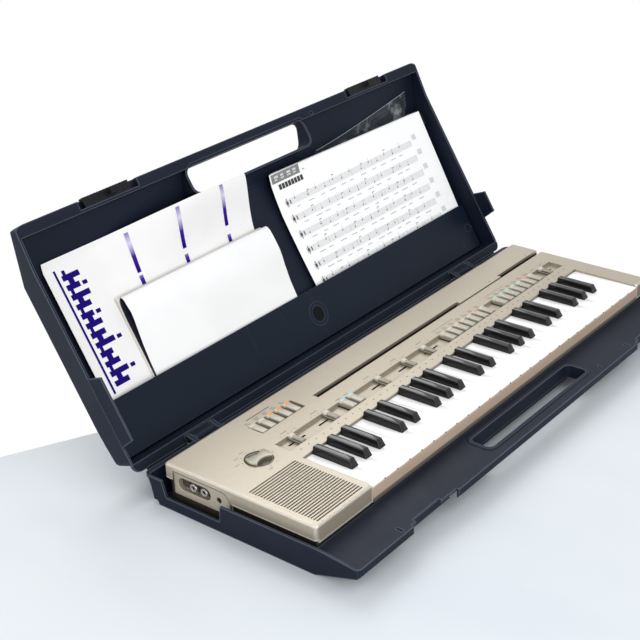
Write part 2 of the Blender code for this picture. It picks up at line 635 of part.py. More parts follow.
def make_lower_case():
    """Bottom housing: a tray inside the top's skirts, with the key slip, the stop rail and the pivot rail."""
    left = BODY_LEFT + LOWER_INSET
    right = BODY_RIGHT - LOWER_INSET
    front = BODY_FRONT + LOWER_INSET
    rear = BODY_REAR - LOWER_INSET
    top = SEAM_Z + LOWER_NEST
    mesh = bmesh.new()
    upright(mesh, round_rect(left, front, right, rear, 3.0 * mm, 3), BODY_BOTTOM, top)
    case = add_object("lower_case", mesh, FINISHES["slip"])

    mesh = bmesh.new()
    box(mesh, (left + SHELL, front + SHELL, BODY_BOTTOM + SHELL), (right - SHELL, rear - SHELL, top + SHELL))
    combine(case, add_cutter("lower_case_inside", mesh), "DIFFERENCE")

    mesh = bmesh.new()
    wall_top = BODY_TOP - FRONT_SKIRT - GAP
    cheek_wall = SHELL + KEY_SIDE_ROOM + 2 * RUNNING
    box(mesh, (KEYS_LEFT - cheek_wall, front - SHELL, wall_top),
        (KEYS_RIGHT + cheek_wall, front + 2 * SHELL, top + SHELL))
    room = 0.5 * mm
    box(mesh, (left - SHELL, BODY_FRONT + JACK_FRONT - room, BODY_TOP - JACK_DROP - room),
        (BODY_LEFT + JACK_BLOCK + room, BODY_FRONT + JACK_REAR + room, top + SHELL))
    slot_front = BODY_FRONT + SLOT_FRONT - FLOOR - room
    box(mesh, (right - 2 * SHELL, slot_front, BODY_TOP - SLOT_DEPTH - FLOOR - room),
        (right + SHELL, slot_front + SLOT_WIDTH + 2 * (FLOOR + room), top + SHELL))
    combine(case, add_cutter("lower_case_cuts", mesh), "DIFFERENCE")

    mesh = bmesh.new()
    lip = BODY_FRONT - LIP_PROUD
    lip_top = BODY_TOP - LIP_TOP_DROP
    lip_bottom = BODY_TOP - LIP_BOTTOM_DROP
    slip = BODY_FRONT + SLIP_FACE
    slip_top = BODY_TOP - SLIP_DROP
    outline = [
        (front + 1.0 * mm, lip_bottom), (lip, lip_bottom), (lip, lip_top - 0.4 * mm),
        (slip, lip_top), (slip, slip_top - 0.4 * mm), (slip + 0.4 * mm, slip_top),
        (slip + SLIP_THICK, slip_top), (slip + SLIP_THICK, wall_top - 0.4 * mm),
        (front + 1.0 * mm, wall_top - 0.4 * mm),
    ]
    along_x(mesh, outline, KEYS_LEFT, KEYS_RIGHT)
    floor_z = BODY_BOTTOM + SHELL - 0.5 * mm
    rail = [(PIVOT_Y + PIVOT_RADIUS, floor_z)] + arc((PIVOT_Y, PIVOT_Z), PIVOT_RADIUS, 0, 180, 8)
    rail += [(PIVOT_Y - PIVOT_RADIUS, floor_z)]
    along_x(mesh, rail, KEYS_LEFT + GAP, KEYS_RIGHT - GAP)
    stop_front = KEY_FRONT + 6.5 * mm
    dip = (PIVOT_Y - stop_front) * math.sin(math.radians(KEY_DIP_DEG))
    box(mesh, (KEYS_LEFT + GAP, stop_front, floor_z),
        (KEYS_RIGHT - GAP, stop_front + 6.0 * mm, KEY_BOTTOM - dip - GAP))
    combine(case, add_cutter("slip_and_rails", mesh), "UNION")


def make_slider(name, middle):
    """A cap across the strip, with a stem through the slot in its floor."""
    bottom = STRIP_FLOOR + GAP
    half = SLIDER_CAP / 2
    low = (middle - half, STRIP_Y + GAP, bottom)
    mesh = bmesh.new()
    box(mesh, low, (middle + half, STRIP_Y + STRIP_WIDTH - GAP, BODY_TOP + SLIDER_RISE))
    soften(mesh, edges_at(mesh, lambda p: p.z > BODY_TOP), 0.9 * mm)
    origin = (middle, SLOT_Y, bottom)
    cap = add_object(name, mesh, FINISHES["control"], origin)
    mesh = bmesh.new()
    width = SLIDER_SLOT / 2 - GAP
    box(mesh, (middle - SLIDER_STEM / 2, SLOT_Y - width, STRIP_FLOOR - FLOOR - 3 * mm),
        (middle + SLIDER_STEM / 2, SLOT_Y + width, bottom + 0.5 * mm))
    combine(cap, add_cutter(name + "_stem", mesh), "UNION")


def grip_outline(radius):
    """The knob's grip seen from above: round ends on the rim, waisted between two finger hollows."""
    points = []
    end = math.radians(KNOB_GRIP_END_DEG)
    end_x, end_y = radius * math.cos(end), radius * math.sin(end)
    steps = 6
    for side in (1, -1):
        flip = 0 if side == 1 else 180
        points += arc((0, 0), radius, flip - KNOB_GRIP_END_DEG, flip + KNOB_GRIP_END_DEG, steps)
        for i in range(1, 2 * steps):
            share = 1 - i / steps
            width = KNOB_WAIST / 2 + (end_y - KNOB_WAIST / 2) * share ** 2
            points.append((side * share * end_x, side * width))
    return points


def make_knob():
    """Round selector with a grip bar across it, sunk in its well."""
    centre = (BODY_LEFT + KNOB_X, BODY_FRONT + KNOB_Y)
    bottom = BODY_TOP - KNOB_WELL + GAP
    rim = BODY_TOP - 0.9 * mm
    end = BODY_TOP - KNOB_WELL - FLOOR - 3 * mm
    mesh = bmesh.new()
    edge = KNOB_RADIUS
    turned(mesh, [(0, end), (KNOB_STEM, end), (KNOB_STEM, bottom), (edge, bottom), (edge, rim - 0.5 * mm),
                  (edge - 0.5 * mm, rim), (edge - 1.6 * mm, rim), (edge - 2.4 * mm, rim - 1.0 * mm),
                  (0, rim - 1.0 * mm)], centre)
    origin = (*centre, bottom)
    knob = add_object("selector_knob", mesh, FINISHES["control"], origin)
    mesh = bmesh.new()
    outline = grip_outline(KNOB_RADIUS - 0.4 * mm)
    turn = Matrix.Rotation(math.radians(KNOB_TURN_DEG), 4, "Z")
    rings = []
    grip_top = BODY_TOP + KNOB_RISE
    for z, shrink in ((bottom + 0.6 * mm, 1.0), (grip_top - 0.8 * mm, 0.97), (grip_top, 0.9)):
        points = [turn @ Vector((x * (0.5 + shrink / 2), y * shrink, 0)) for x, y in outline]
        rings.append([(centre[0] + p.x, centre[1] + p.y, z) for p in points])
    loft(mesh, rings)
    combine(knob, add_cutter("selector_grip", mesh), "UNION")


def tray_profile():
    """The tray's outer outline in Y and Z, from the front lip round under to the rear rim."""
    lip = FRONT + LIP_CHAMFER
    bottom_rear = REAR - REAR_DRAFT
    radius = CORNER - 2 * mm
    points = [(FRONT, SHELF_Z), (FRONT, LIP_BOTTOM + LIP_CHAMFER), (lip, LIP_BOTTOM), (BODY_FRONT, 0)]
    points += arc((bottom_rear - radius, radius), radius, 270, 345, 5)
    points += [(REAR, RIM_Z), (RAMP, RIM_Z), (FRONT + 5 * mm, SHELF_Z)]
    return points


def handle_ring(grow, z):
    """The handle opening's outline, larger by grow on every side, at height z."""
    half = HANDLE_LENGTH / 2 + grow
    width = HANDLE_WIDTH / 2 + grow
    radius = HANDLE_CORNER + grow
    return [(x, y, z) for x, y in round_rect(-half, HANDLE_Y - width, half, HANDLE_Y + width, radius, 4)]


def end_cut(front, rear, depth, room):
    """The cut-out of an end wall, or with room the tab that fills it, as an outline in Y and Z."""
    front = BODY_FRONT + front + room
    rear = BODY_FRONT + rear - room
    bottom = RIM_Z - depth + room
    return [(front + CUT_TAPER, bottom), (rear - CUT_TAPER, bottom), (rear, RIM_Z), (front, RIM_Z)]


def sloped_sides(mesh, draft, height):
    """Draws the side faces in towards z = height, by draft, from the rim's full width."""
    for vert in mesh.verts:
        share = (vert.co.z - RIM_Z) / (height - RIM_Z)
        vert.co.x -= math.copysign(draft * max(0.0, min(1.0, share)), vert.co.x)


def make_tray():
    """Lower half of the case: well for the instrument, front shelf with the handle, hinge ears and pins."""
    mesh = bmesh.new()
    along_x(mesh, tray_profile(), -SIDE, SIDE)
    sloped_sides(mesh, SIDE_DRAFT, 0.0)
    corners = edges_at(mesh, lambda p: p.y < FRONT + 1e-6 or p.y > REAR - REAR_DRAFT - CORNER)
    corners = [edge for edge in corners if abs(edge.verts[0].co.x - edge.verts[1].co.x) < 5 * mm]
    soften(mesh, corners, REAR_CORNER, 3)
    tray = add_object("case_tray", mesh, FINISHES["case"])

    mesh = bmesh.new()
    inner = SIDE - WALL
    high = RIM_Z + 2 * CORNER
    well = round_rect(-inner, SHELF_REAR + WALL, inner, REAR - WALL, 3 * mm, 3)
    lower = round_rect(-inner + SIDE_DRAFT, SHELF_REAR + WALL, inner - SIDE_DRAFT, REAR - WALL - REAR_DRAFT,
                       3 * mm, 3)
    loft(mesh, [[(x, y, WALL) for x, y in lower], [(x, y, RIM_Z) for x, y in well],
                [(x, y, high) for x, y in well]])
    combine(tray, add_cutter("tray_well", mesh), "DIFFERENCE")

    mesh = bmesh.new()
    box(mesh, (-inner, FRONT - CORNER, SHELF_Z), (inner, SHELF_REAR + 2 * WALL, high))
    under = [(FRONT + WALL, -WALL), (SHELF_REAR - WALL, -WALL), (SHELF_REAR - WALL, SHELF_Z - WALL),
             (FRONT + WALL, SHELF_Z - WALL)]
    along_x(mesh, under, -inner + SIDE_DRAFT, inner - SIDE_DRAFT)
    combine(tray, add_cutter("tray_shelf_hollows", mesh), "DIFFERENCE")

    mesh = bmesh.new()
    tube_bottom = 13 * mm
    rings = [handle_ring(WALL - HANDLE_TAPER, tube_bottom), handle_ring(WALL, SHELF_Z),
             handle_ring(WALL * 0.6, SHELF_Z + HANDLE_RIM)]
    loft(mesh, rings)
    slope = LIP_BOTTOM / (BODY_FRONT - FRONT - LIP_CHAMFER)
    rib_front = FRONT + WALL - 0.5 * mm
    rib_rear = SHELF_REAR - WALL + 0.5 * mm
    rib = [(rib_front, (BODY_FRONT - rib_front) * slope + 1.5 * mm),
           (rib_rear, (BODY_FRONT - rib_rear) * slope + 1.5 * mm),
           (rib_rear, SHELF_Z - WALL + 0.5 * mm), (rib_front, SHELF_Z - WALL + 0.5 * mm)]
    for x in rib_places():
        along_x(mesh, rib, x - RIB / 2, x + RIB / 2)
    for x in (-0.66 * SIDE, 0.0, 0.66 * SIDE):
        box(mesh, (x - RIB / 2, BODY_REAR + GAP, WALL - 0.5 * mm), (x + RIB / 2, REAR - REAR_DRAFT, 12 * mm))
    for y in (BODY_FRONT + 40 * mm, BODY_FRONT + 95 * mm):
        box(mesh, (BODY_RIGHT + GAP, y - RIB / 2, WALL - 0.5 * mm),
            (inner - SIDE_DRAFT + 1 * mm, y + RIB / 2, 16 * mm))
    for side in (-1, 1):
        for end in (-1, 1):
            edge = side * HINGE_X + end * (HINGE_WIDTH / 2 + RUNNING)
            xs = sorted((edge, edge + end * HINGE_EAR))
            ear = arc((HINGE_Y, HINGE_Z), HINGE_BARREL - 0.8 * mm, -75, -35, 2) + lid_stop()
            ear += arc((HINGE_Y, HINGE_Z), HINGE_BARREL - 0.8 * mm, 80, 110, 2)
            ear += [(REAR - 1.2 * mm, RIM_Z - 1.0 * mm), (REAR - 2.6 * mm, 14 * mm)]
            along_x(mesh, ear, xs[0], xs[1])
    rear_flange(mesh, TRAY_FLANGE, RIM_Z - FLANGE_THICK, RIM_Z)
    combine(tray, add_cutter("tray_tube_ribs_ears", mesh), "UNION")

    mesh = bmesh.new()
    loft(mesh, [handle_ring(-HANDLE_TAPER, -WALL), handle_ring(-HANDLE_TAPER, tube_bottom),
                handle_ring(0, high)])
    for x in LATCH_PLACES:
        half = LATCH_LENGTH / 2 + 5.5 * mm
        deep = half - NOTCH_SIDE
        left = x - half
        outline = [
            (left, FRONT - CORNER), (x + half, FRONT - CORNER), (x + half, FRONT + NOTCH_SHALLOW),
            (x + deep, FRONT + NOTCH_SHALLOW), (x + deep, FRONT + NOTCH_DEEP),
            (x - deep - 4 * mm, FRONT + NOTCH_DEEP), (x - deep - 4 * mm, FRONT + NOTCH_SHALLOW),
            (left, FRONT + NOTCH_SHALLOW),
        ]
        upright(mesh, outline, LIP_BOTTOM - 2 * mm, high)
        mark = left - 12 * mm
        box(mesh, (mark, FRONT + 4 * mm, SHELF_Z - 2 * WALL), (mark + 2.5 * mm, FRONT + 11 * mm, high))
    peg = arc((PEG_X, FRONT + PEG_FROM_EDGE), PEG_RADIUS, 0, 330, 11)
    upright(mesh, peg, SHELF_Z - 2 * WALL, high)
    span = 3 * WALL + ROOM_LEFT / 2
    along_x(mesh, end_cut(LEFT_CUT_FRONT, LEFT_CUT_REAR, CUT_DEPTH, 0) , -SIDE - span, -SIDE + span)
    along_x(mesh, end_cut(RIGHT_CUT_FRONT, RIGHT_CUT_REAR, CUT_DEPTH, 0), SIDE - span, SIDE + span)
    combine(tray, add_cutter("tray_openings", mesh), "DIFFERENCE")

    mesh = bmesh.new()
    for x in LATCH_PLACES:
        tooth_right = x + LATCH_LENGTH / 2 + 5.5 * mm - NOTCH_SIDE
        box(mesh, (tooth_right - HOOK_WIDTH - 1 * mm, FRONT + NOTCH_SHALLOW + RUNNING, SHELF_Z - TOOTH),
            (tooth_right + 0.5 * mm, FRONT + NOTCH_DEEP + 0.5 * mm, SHELF_Z))
        box(mesh, (x - LATCH_LENGTH / 2, FRONT + NOTCH_DEEP - 0.3 * mm, LIP_BOTTOM + 1 * mm),
            (x + LATCH_LENGTH / 2, FRONT + NOTCH_DEEP + 1.5 * mm, SHELF_Z - 1 * mm))
    for side in (-1, 1):
        half = HINGE_WIDTH / 2 + RUNNING + HINGE_EAR / 2
        turned_along_x(mesh, side * HINGE_X - half, side * HINGE_X + half, HINGE_PIN, (HINGE_Y, HINGE_Z), 12)
    combine(tray, add_cutter("tray_teeth_and_pins", mesh), "UNION")


def rear_flange(mesh, reach, low, high):
    """The flange along a rear rim, in three lengths that leave the hinges free."""
    free = HINGE_WIDTH / 2 + 2 * RUNNING + HINGE_EAR
    inner = REAR - 1.0 * mm
    outer = REAR + reach
    end = HINGE_X - free
    upright(mesh, [(-end, inner), (end, inner), (end, outer), (-end, outer)], low, high)
    for side in (-1, 1):
        centre = (side * (SIDE - FLANGE_CORNER), outer - FLANGE_CORNER)
        bend = arc(centre, FLANGE_CORNER, 90, 90 - side * 90, 6)
        start = side * (HINGE_X + free)
        outline = [(start, inner), (start, outer)] + bend
        outline += [(side * (SIDE - 1.2 * mm), centre[1]), (side * (SIDE - REAR_CORNER), inner)]
        upright(mesh, outline, low, high)


def lid_stop():
    """The nub on each hinge ear that the open lid's rear wall comes to rest on."""
    angle = math.radians(LID_OPEN_DEG)
    towards_wall = Vector((-math.cos(angle), math.sin(angle)))
    along_wall = Vector((math.sin(angle), math.cos(angle)))
    reach = HINGE_BEHIND - RUNNING
    corners = ((0.4 * reach, 7 * mm), (reach, 7 * mm), (reach, 1.5 * mm))
    points = [towards_wall * out + along_wall * along for out, along in corners]
    return [(HINGE_Y + point.x, HINGE_Z + point.y) for point in points]


def rib_places():
    """Stiffening ribs under the shelf, on both sides of the handle and clear of the latch notches."""
    inner = HANDLE_LENGTH / 2 + 12 * mm
    outer = SIDE - WALL - 22 * mm
    places = []
    for side in (-1, 1):
        places += [side * inner, side * (inner + 34 * mm), side * outer]
    return places


def lid_profile():
    """The lid's outer outline in Y and Z, shut: front edge, slope, top, round rear corner, rim."""
    slope_rear = FRONT + LID_SLOPE_LENGTH
    edge_top = LID_SHELF + LID_EDGE
    radius = LID_BACK_CORNER
    points = [(FRONT, LID_SHELF), (FRONT, edge_top - 2 * mm), (FRONT + 2 * mm, edge_top),
              (slope_rear, LID_TOP)]
    points += arc((REAR - 4 * mm - radius, LID_TOP - radius), radius, 90, 15, 5)
    points += [(REAR, LID_RIM), (RAMP, LID_RIM), (FRONT + 5 * mm, LID_SHELF)]
    return points


def lid_slope(y):
    """Height of the lid's outer sloped face above the point y."""
    edge_y = FRONT + 2 * mm
    edge_z = LID_SHELF + LID_EDGE
    rise = (LID_TOP - edge_z) / (LID_SLOPE_LENGTH - 2 * mm)
    return edge_z + (y - edge_y) * rise


def make_lid(hinge):
    """Upper half of the case: sloped front, flange, handle tunnel, end tabs, pocket bosses and knuckles."""
    origin = (0, HINGE_Y, HINGE_Z)

    def lid_cutter(name, mesh):
        return add_cutter(name, mesh, origin, hinge)

    mesh = bmesh.new()
    along_x(mesh, lid_profile(), -SIDE, SIDE)
    sloped_sides(mesh, LID_SIDE_DRAFT, LID_TOP)
    corners = edges_at(mesh, lambda p: p.y < FRONT + 1e-6)
    corners = [edge for edge in corners if abs(edge.verts[0].co.x - edge.verts[1].co.x) < 5 * mm]
    soften(mesh, corners, LID_CORNER * 0.5, 4)
    rear = edges_at(mesh, lambda p: p.y > REAR - 4.5 * mm - LID_BACK_CORNER)
    rear = [edge for edge in rear if abs(edge.verts[0].co.x - edge.verts[1].co.x) < 5 * mm]
    soften(mesh, rear, REAR_CORNER, 3)
    lid = add_object("case_lid", mesh, FINISHES["case"], origin, hinge)

    mesh = bmesh.new()
    inner = SIDE - WALL
    flange_rear = FRONT + FLANGE
    skin = WALL * 1.1
    ceiling_front = FRONT + LID_SLOPE_LENGTH + 1 * mm
    radius = LID_BACK_CORNER - WALL
    hollow = [(flange_rear, LID_SHELF - 2 * mm), (flange_rear, lid_slope(flange_rear) - skin),
              (ceiling_front, LID_CEILING)]
    hollow += arc((REAR - 4 * mm - LID_BACK_CORNER, LID_CEILING - radius), radius, 90, 15, 4)
    hollow += [(REAR - WALL, LID_RIM), (REAR - WALL, LID_SHELF - 2 * mm)]
    along_x(mesh, hollow, -inner, inner)
    sloped_sides(mesh, LID_SIDE_DRAFT, LID_TOP)
    combine(lid, lid_cutter("lid_inside", mesh), "DIFFERENCE")

    mesh = bmesh.new()
    under_slope = [(x, y, min(z, lid_slope(y) - 0.5 * mm)) for x, y, z in handle_ring(WALL, LID_TOP)]
    loft(mesh, [handle_ring(WALL, LID_RIM), under_slope])
    for x, z in boss_places():
        boss = arc((x, z), BOSS_RADIUS, 0, 337.5, 15)
        upright(mesh, boss, POCKET_Z + POCKET_THICK + GAP, LID_CEILING + 0.5 * mm)
    for side, front, rear in ((-1, LEFT_CUT_FRONT, LEFT_CUT_REAR), (1, RIGHT_CUT_FRONT, RIGHT_CUT_REAR)):
        tab = end_cut(front, rear, CUT_DEPTH, RUNNING)
        tab = [(y, z + (0.8 * mm if z > RIM_Z - 1e-6 else 0)) for y, z in tab]
        xs = sorted((side * (SIDE - 0.4 * mm), side * (SIDE - WALL)))
        along_x(mesh, tab, xs[0], xs[1])
    for side in (-1, 1):
        knuckle = arc((HINGE_Y, HINGE_Z), HINGE_BARREL, -150, 70, 12)
        knuckle += [(REAR + 3.0 * mm, LID_RIM + 6 * mm), (REAR - 3.4 * mm, LID_RIM + 14 * mm),
                    (REAR - 1.6 * mm, LID_RIM + 1 * mm), (REAR + 0.6 * mm, LID_RIM + 0.3 * mm)]
        along_x(mesh, knuckle, side * HINGE_X - HINGE_WIDTH / 2, side * HINGE_X + HINGE_WIDTH / 2)
    rear_flange(mesh, LID_FLANGE, LID_RIM, LID_RIM + FLANGE_THICK)
    combine(lid, lid_cutter("lid_tunnel_tabs_knuckles", mesh), "UNION")

    mesh = bmesh.new()
    rim_top = SHELF_Z + HANDLE_RIM + GAP
    loft(mesh, [handle_ring(WALL + RUNNING, LID_SHELF - WALL), handle_ring(WALL + RUNNING, rim_top),
                handle_ring(0, rim_top + GAP), handle_ring(0, LID_TOP + WALL)])
    for x in LATCH_PLACES:
        left = x - LATCH_LENGTH / 2 - LATCH_BACK - RUNNING
        right = x + LATCH_LENGTH / 2 + LATCH_LOCK + RUNNING
        box(mesh, (left, FRONT - CORNER, LID_SHELF - WALL),
            (right, FRONT + LATCH_DEPTH - LATCH_PROUD + GAP, latch_top() + GAP))
    peg = arc((PEG_X, FRONT + PEG_FROM_EDGE), PEG_RADIUS, 0, 330, 11)
    upright(mesh, peg, LID_SHELF - WALL, LID_SHELF + 4 * mm)
    for side in (-1, 1):
        turned_along_x(mesh, side * HINGE_X - HINGE_WIDTH, side * HINGE_X + HINGE_WIDTH, HINGE_PIN + GAP,
                       (HINGE_Y, HINGE_Z), 16)
    combine(lid, lid_cutter("lid_openings", mesh), "DIFFERENCE")

    mesh = bmesh.new()
    for x in LATCH_PLACES:
        left = x - LATCH_LENGTH / 2 - LATCH_BACK - RUNNING
        right = x + LATCH_LENGTH / 2 + LATCH_LOCK + RUNNING
        rear = FRONT + LATCH_DEPTH - LATCH_PROUD
        box(mesh, (left, rear - 1 * mm, latch_middle() - LATCH_TONGUE / 2 - GAP),
            (right, rear + LATCH_TONGUE * 0.8 + GAP, latch_middle() + LATCH_TONGUE / 2 + GAP))
    combine(lid, lid_cutter("latch_grooves", mesh), "DIFFERENCE")
    return lid


def latch_bottom():
    return LID_SHELF + GAP


def latch_top():
    return latch_bottom() + LATCH_HEIGHT


def latch_middle():
    return latch_bottom() + 0.62 * LATCH_HEIGHT


def boss_places():
    """Where the pocket panel is fixed to the lid, at its ends."""
    end = POCKET_WIDTH / 2 - BOSS_FROM_EDGE
    y = REAR - POCKET_FROM_REAR - POCKET_LENGTH / 2 + 3 * mm
    return [(-end, y), (end, y)]


def make_pocket(hinge):
    """The panel that closes the lid's pocket, with a round seat sunk in its middle."""
    rear = REAR - POCKET_FROM_REAR
    mesh = bmesh.new()
    half = POCKET_WIDTH / 2
    outline = round_rect(-half, rear - POCKET_LENGTH, half, rear, 3 * mm, 3)
    upright(mesh, outline, POCKET_Z, POCKET_Z + POCKET_THICK)
    panel = add_object("lid_pocket", mesh, FINISHES["pocket"], (0, HINGE_Y, HINGE_Z), hinge)
    mesh = bmesh.new()
    y = rear - POCKET_LENGTH / 2
    seat = POCKET_Z + 0.9 * mm
    below = POCKET_Z - 0.6 * mm
    turned(mesh, [(0, seat), (SEAT_RADIUS - 0.8 * mm, seat), (SEAT_RADIUS, below), (0, below)],
           (POCKET_SEAM_X, y), 28)
    combine(panel, add_cutter("pocket_seat", mesh, (0, HINGE_Y, HINGE_Z), hinge), "DIFFERENCE")
    mesh = bmesh.new()
    edge = rear - POCKET_LENGTH
    box(mesh, (POCKET_SEAM_X - POCKET_SEAM / 2, edge + POCKET_NOTCH, below),
        (POCKET_SEAM_X + POCKET_SEAM / 2, rear + 1.0 * mm, POCKET_Z + 0.5 * mm))
    notch = [(POCKET_SEAM_X - POCKET_NOTCH, edge - 1.0 * mm), (POCKET_SEAM_X + POCKET_NOTCH, edge - 1.0 * mm),
             (POCKET_SEAM_X, edge + POCKET_NOTCH / 2)]
    upright(mesh, notch, below, POCKET_Z + 2 * POCKET_THICK)
    combine(panel, add_cutter("pocket_seam_and_notch", mesh, (0, HINGE_Y, HINGE_Z), hinge), "DIFFERENCE")


def make_latch(name, x, hinge):
    """A sliding latch in the lid's edge: ribbed grip, tongue in its groove, hook for the tray's tooth."""
    origin = (0, HINGE_Y, HINGE_Z)
    left = x - LATCH_LENGTH / 2
    right = x + LATCH_LENGTH / 2
    front = FRONT - LATCH_PROUD
    rear = front + LATCH_DEPTH
    mesh = bmesh.new()
    box(mesh, (left, front, latch_bottom()), (right, rear, latch_top()))
    body = add_object(name, mesh, FINISHES["latch"], origin, hinge)
    mesh = bmesh.new()
    middle = latch_middle()
    box(mesh, (left + 4 * mm, rear - 1 * mm, middle - LATCH_TONGUE / 2),
        (right - 4 * mm, rear + LATCH_TONGUE * 0.8, middle + LATCH_TONGUE / 2))
    hook_right = x + LATCH_LENGTH / 2 + 5.5 * mm - NOTCH_SIDE - LATCH_LOCK - 1 * mm
    hook_left = hook_right - HOOK_WIDTH
    foot_top = SHELF_Z - TOOTH - RUNNING
    foot = latch_bottom() - HOOK_DROP - 1 * mm
    leg_rear = FRONT + HOOK_THICK
    outline = [(FRONT, latch_bottom() + 1 * mm), (FRONT, foot), (leg_rear + HOOK_FOOT, foot),
               (leg_rear + HOOK_FOOT, foot_top), (leg_rear, foot_top), (leg_rear, latch_bottom() + 1 * mm)]
    along_x(mesh, outline, hook_left, hook_right)
    combine(body, add_cutter(name + "_tongue_and_hook", mesh, origin, hinge), "UNION")
    mesh = bmesh.new()
    grooves = 12
    pitch = (LATCH_LENGTH - 10 * mm) / grooves
    low = latch_bottom() - 1 * mm
    high = latch_top() + 1 * mm
    ahead = front - 1 * mm
    behind = front + 0.6 * mm
    outline = [(ahead, high), (ahead, low), (behind, low), (behind, high)]
    for i in range(grooves):
        start = left + 5 * mm + i * pitch
        along_x(mesh, outline, start, start + pitch * 0.45)
    combine(body, add_cutter(name + "_grip_grooves", mesh, origin, hinge), "DIFFERENCE")


def make_papers(hinge):
    """What the pocket holds: a booklet with a folded leaflet in front of it, and a stack of cards."""
    origin = (0, HINGE_Y, HINGE_Z)
    rear = REAR - 4 * mm - LID_BACK_CORNER + 1 * mm
    top = LID_CEILING - PAPER_SPACE
    bend = FRONT + LID_SLOPE_LENGTH + 1 * mm
    slope = (lid_slope(bend) - lid_slope(FRONT + FLANGE)) / (bend - FRONT - FLANGE)

    def leaves(left, size):
        """Flat under the lid's top, and bent down with its slope where they are long enough."""
        width, length, thick = size
        front = rear - length
        outline = [(rear, top), (rear, top - thick)]
        if front < bend:
            low = top - (bend - front) * slope
            outline += [(bend, top - thick), (front, low - thick), (front, low), (bend, top)]
        else:
            outline += [(front, top - thick), (front, top)]
        mesh = bmesh.new()
        along_x(mesh, outline, left, left + width)
        return mesh

    left = -SIDE + WALL + BOOKLET_LEFT
    booklet = add_object("song_booklet", leaves(left, BOOKLET), FINISHES["paper"], origin, hinge)
    mesh = bmesh.new()
    start = -SIDE + WALL + LEAFLET_LEFT
    under = top - BOOKLET[2]
    box(mesh, (start, rear - LEAFLET[1], under - LEAFLET[2]),
        (start + LEAFLET[0], rear - 1 * mm, under + 0.5 * mm))
    combine(booklet, add_cutter("folded_leaflet", mesh, origin, hinge), "UNION")
    right = SIDE - WALL - CARDS_RIGHT
    add_object("music_cards", leaves(right - CARDS[0], CARDS), FINISHES["paper"], origin, hinge)


FINISHES = {}


def make_finishes():
    FINISHES["helper"] = material("helper", (0.8, 0.2, 0.2), 0.5)
    FINISHES["champagne"] = material("champagne", (0.53, 0.48, 0.40), 0.38, 0.35)
    FINISHES["slip"] = material("slip", (0.40, 0.33, 0.27), 0.45, 0.1)
    FINISHES["control"] = material("control", (0.55, 0.51, 0.43), 0.35, 0.2)
    FINISHES["white_key"] = material("white_key", (0.88, 0.87, 0.84), 0.25)
    FINISHES["black_key"] = material("black_key", (0.012, 0.012, 0.014), 0.15)
    FINISHES["case"] = material("case", (0.025, 0.031, 0.048), 0.5)
    FINISHES["pocket"] = material("pocket", (0.016, 0.024, 0.038), 0.35)
    FINISHES["latch"] = material("latch", (0.03, 0.032, 0.036), 0.55)
    FINISHES["paper"] = material("paper", (0.86, 0.85, 0.82), 0.7)


def main():
    clear_scene()
    make_finishes()
    make_tray()
    hinge = bpy.data.objects.new("lid_hinge", None)
    bpy.context.scene.collection.objects.link(hinge)
    hinge.location = (0, HINGE_Y, HINGE_Z)
    hinge.rotation_euler = (-math.radians(LID_OPEN_DEG), 0, 0)
    make_lid(hinge)
    make_pocket(hinge)
    for name, x in zip(("latch_left", "latch_right"), LATCH_PLACES):
        make_latch(name, x, hinge)
    make_papers(hinge)
    make_upper_case()
    make_lower_case()
    make_knob()
    for i, (middle, _, place) in enumerate(slider_slots()):
        name = f"slider_{i + 1}" if i < len(SLIDER_MIDDLES) else "power_switch"
        make_slider(name, middle + place)
    groove = make_pivot_cutter()
    blacks = dict(black_keys())
    for index in range(WHITE_KEYS):
        make_white_key(index, blacks, groove)
    for number, (_, middle) in enumerate(black_keys(), 1):
        make_black_key(number, middle, groove)


main()
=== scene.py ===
"""Looks of the portable mini-key keyboard in its open carrying case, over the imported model."""
import math

import bmesh
import bpy
from mathutils import Matrix, Vector


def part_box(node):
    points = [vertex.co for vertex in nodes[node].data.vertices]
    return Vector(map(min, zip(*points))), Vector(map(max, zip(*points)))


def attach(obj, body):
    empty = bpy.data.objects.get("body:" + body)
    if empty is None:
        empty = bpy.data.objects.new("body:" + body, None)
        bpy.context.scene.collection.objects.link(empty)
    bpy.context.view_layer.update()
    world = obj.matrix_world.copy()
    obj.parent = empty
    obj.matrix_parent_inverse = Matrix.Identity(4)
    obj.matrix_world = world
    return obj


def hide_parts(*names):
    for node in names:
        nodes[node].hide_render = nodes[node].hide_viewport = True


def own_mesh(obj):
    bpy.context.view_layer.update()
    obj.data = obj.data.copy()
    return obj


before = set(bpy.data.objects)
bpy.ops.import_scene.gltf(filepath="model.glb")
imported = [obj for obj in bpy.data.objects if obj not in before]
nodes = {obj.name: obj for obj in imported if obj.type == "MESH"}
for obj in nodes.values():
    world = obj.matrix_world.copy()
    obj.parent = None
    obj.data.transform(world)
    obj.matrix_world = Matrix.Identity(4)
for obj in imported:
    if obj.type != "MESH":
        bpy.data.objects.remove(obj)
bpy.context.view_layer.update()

mm = 0.001

# The photograph: how the camera stood, found from the straight edges of the case
PHOTO_AZIMUTH = -50.62
PHOTO_ELEVATION = 26.28
PHOTO_ROLL = -2.27
PHOTO_LENS = 78.2
PHOTO_SENSOR = 36.0
CAMERA_PLACE = Vector((-1.057, -0.699, 0.7209))
PHOTO_SIDE = 640
FLOOR_EDGE_LEFT = (0.0, 457.0)
FLOOR_EDGE_RIGHT = (130.0, 424.0)

# The lid's hinge line, and how far round it the lid stands open
HINGE = Vector((0, 131.5, 26.0)) * mm
LID_OPEN = math.radians(-121.5)

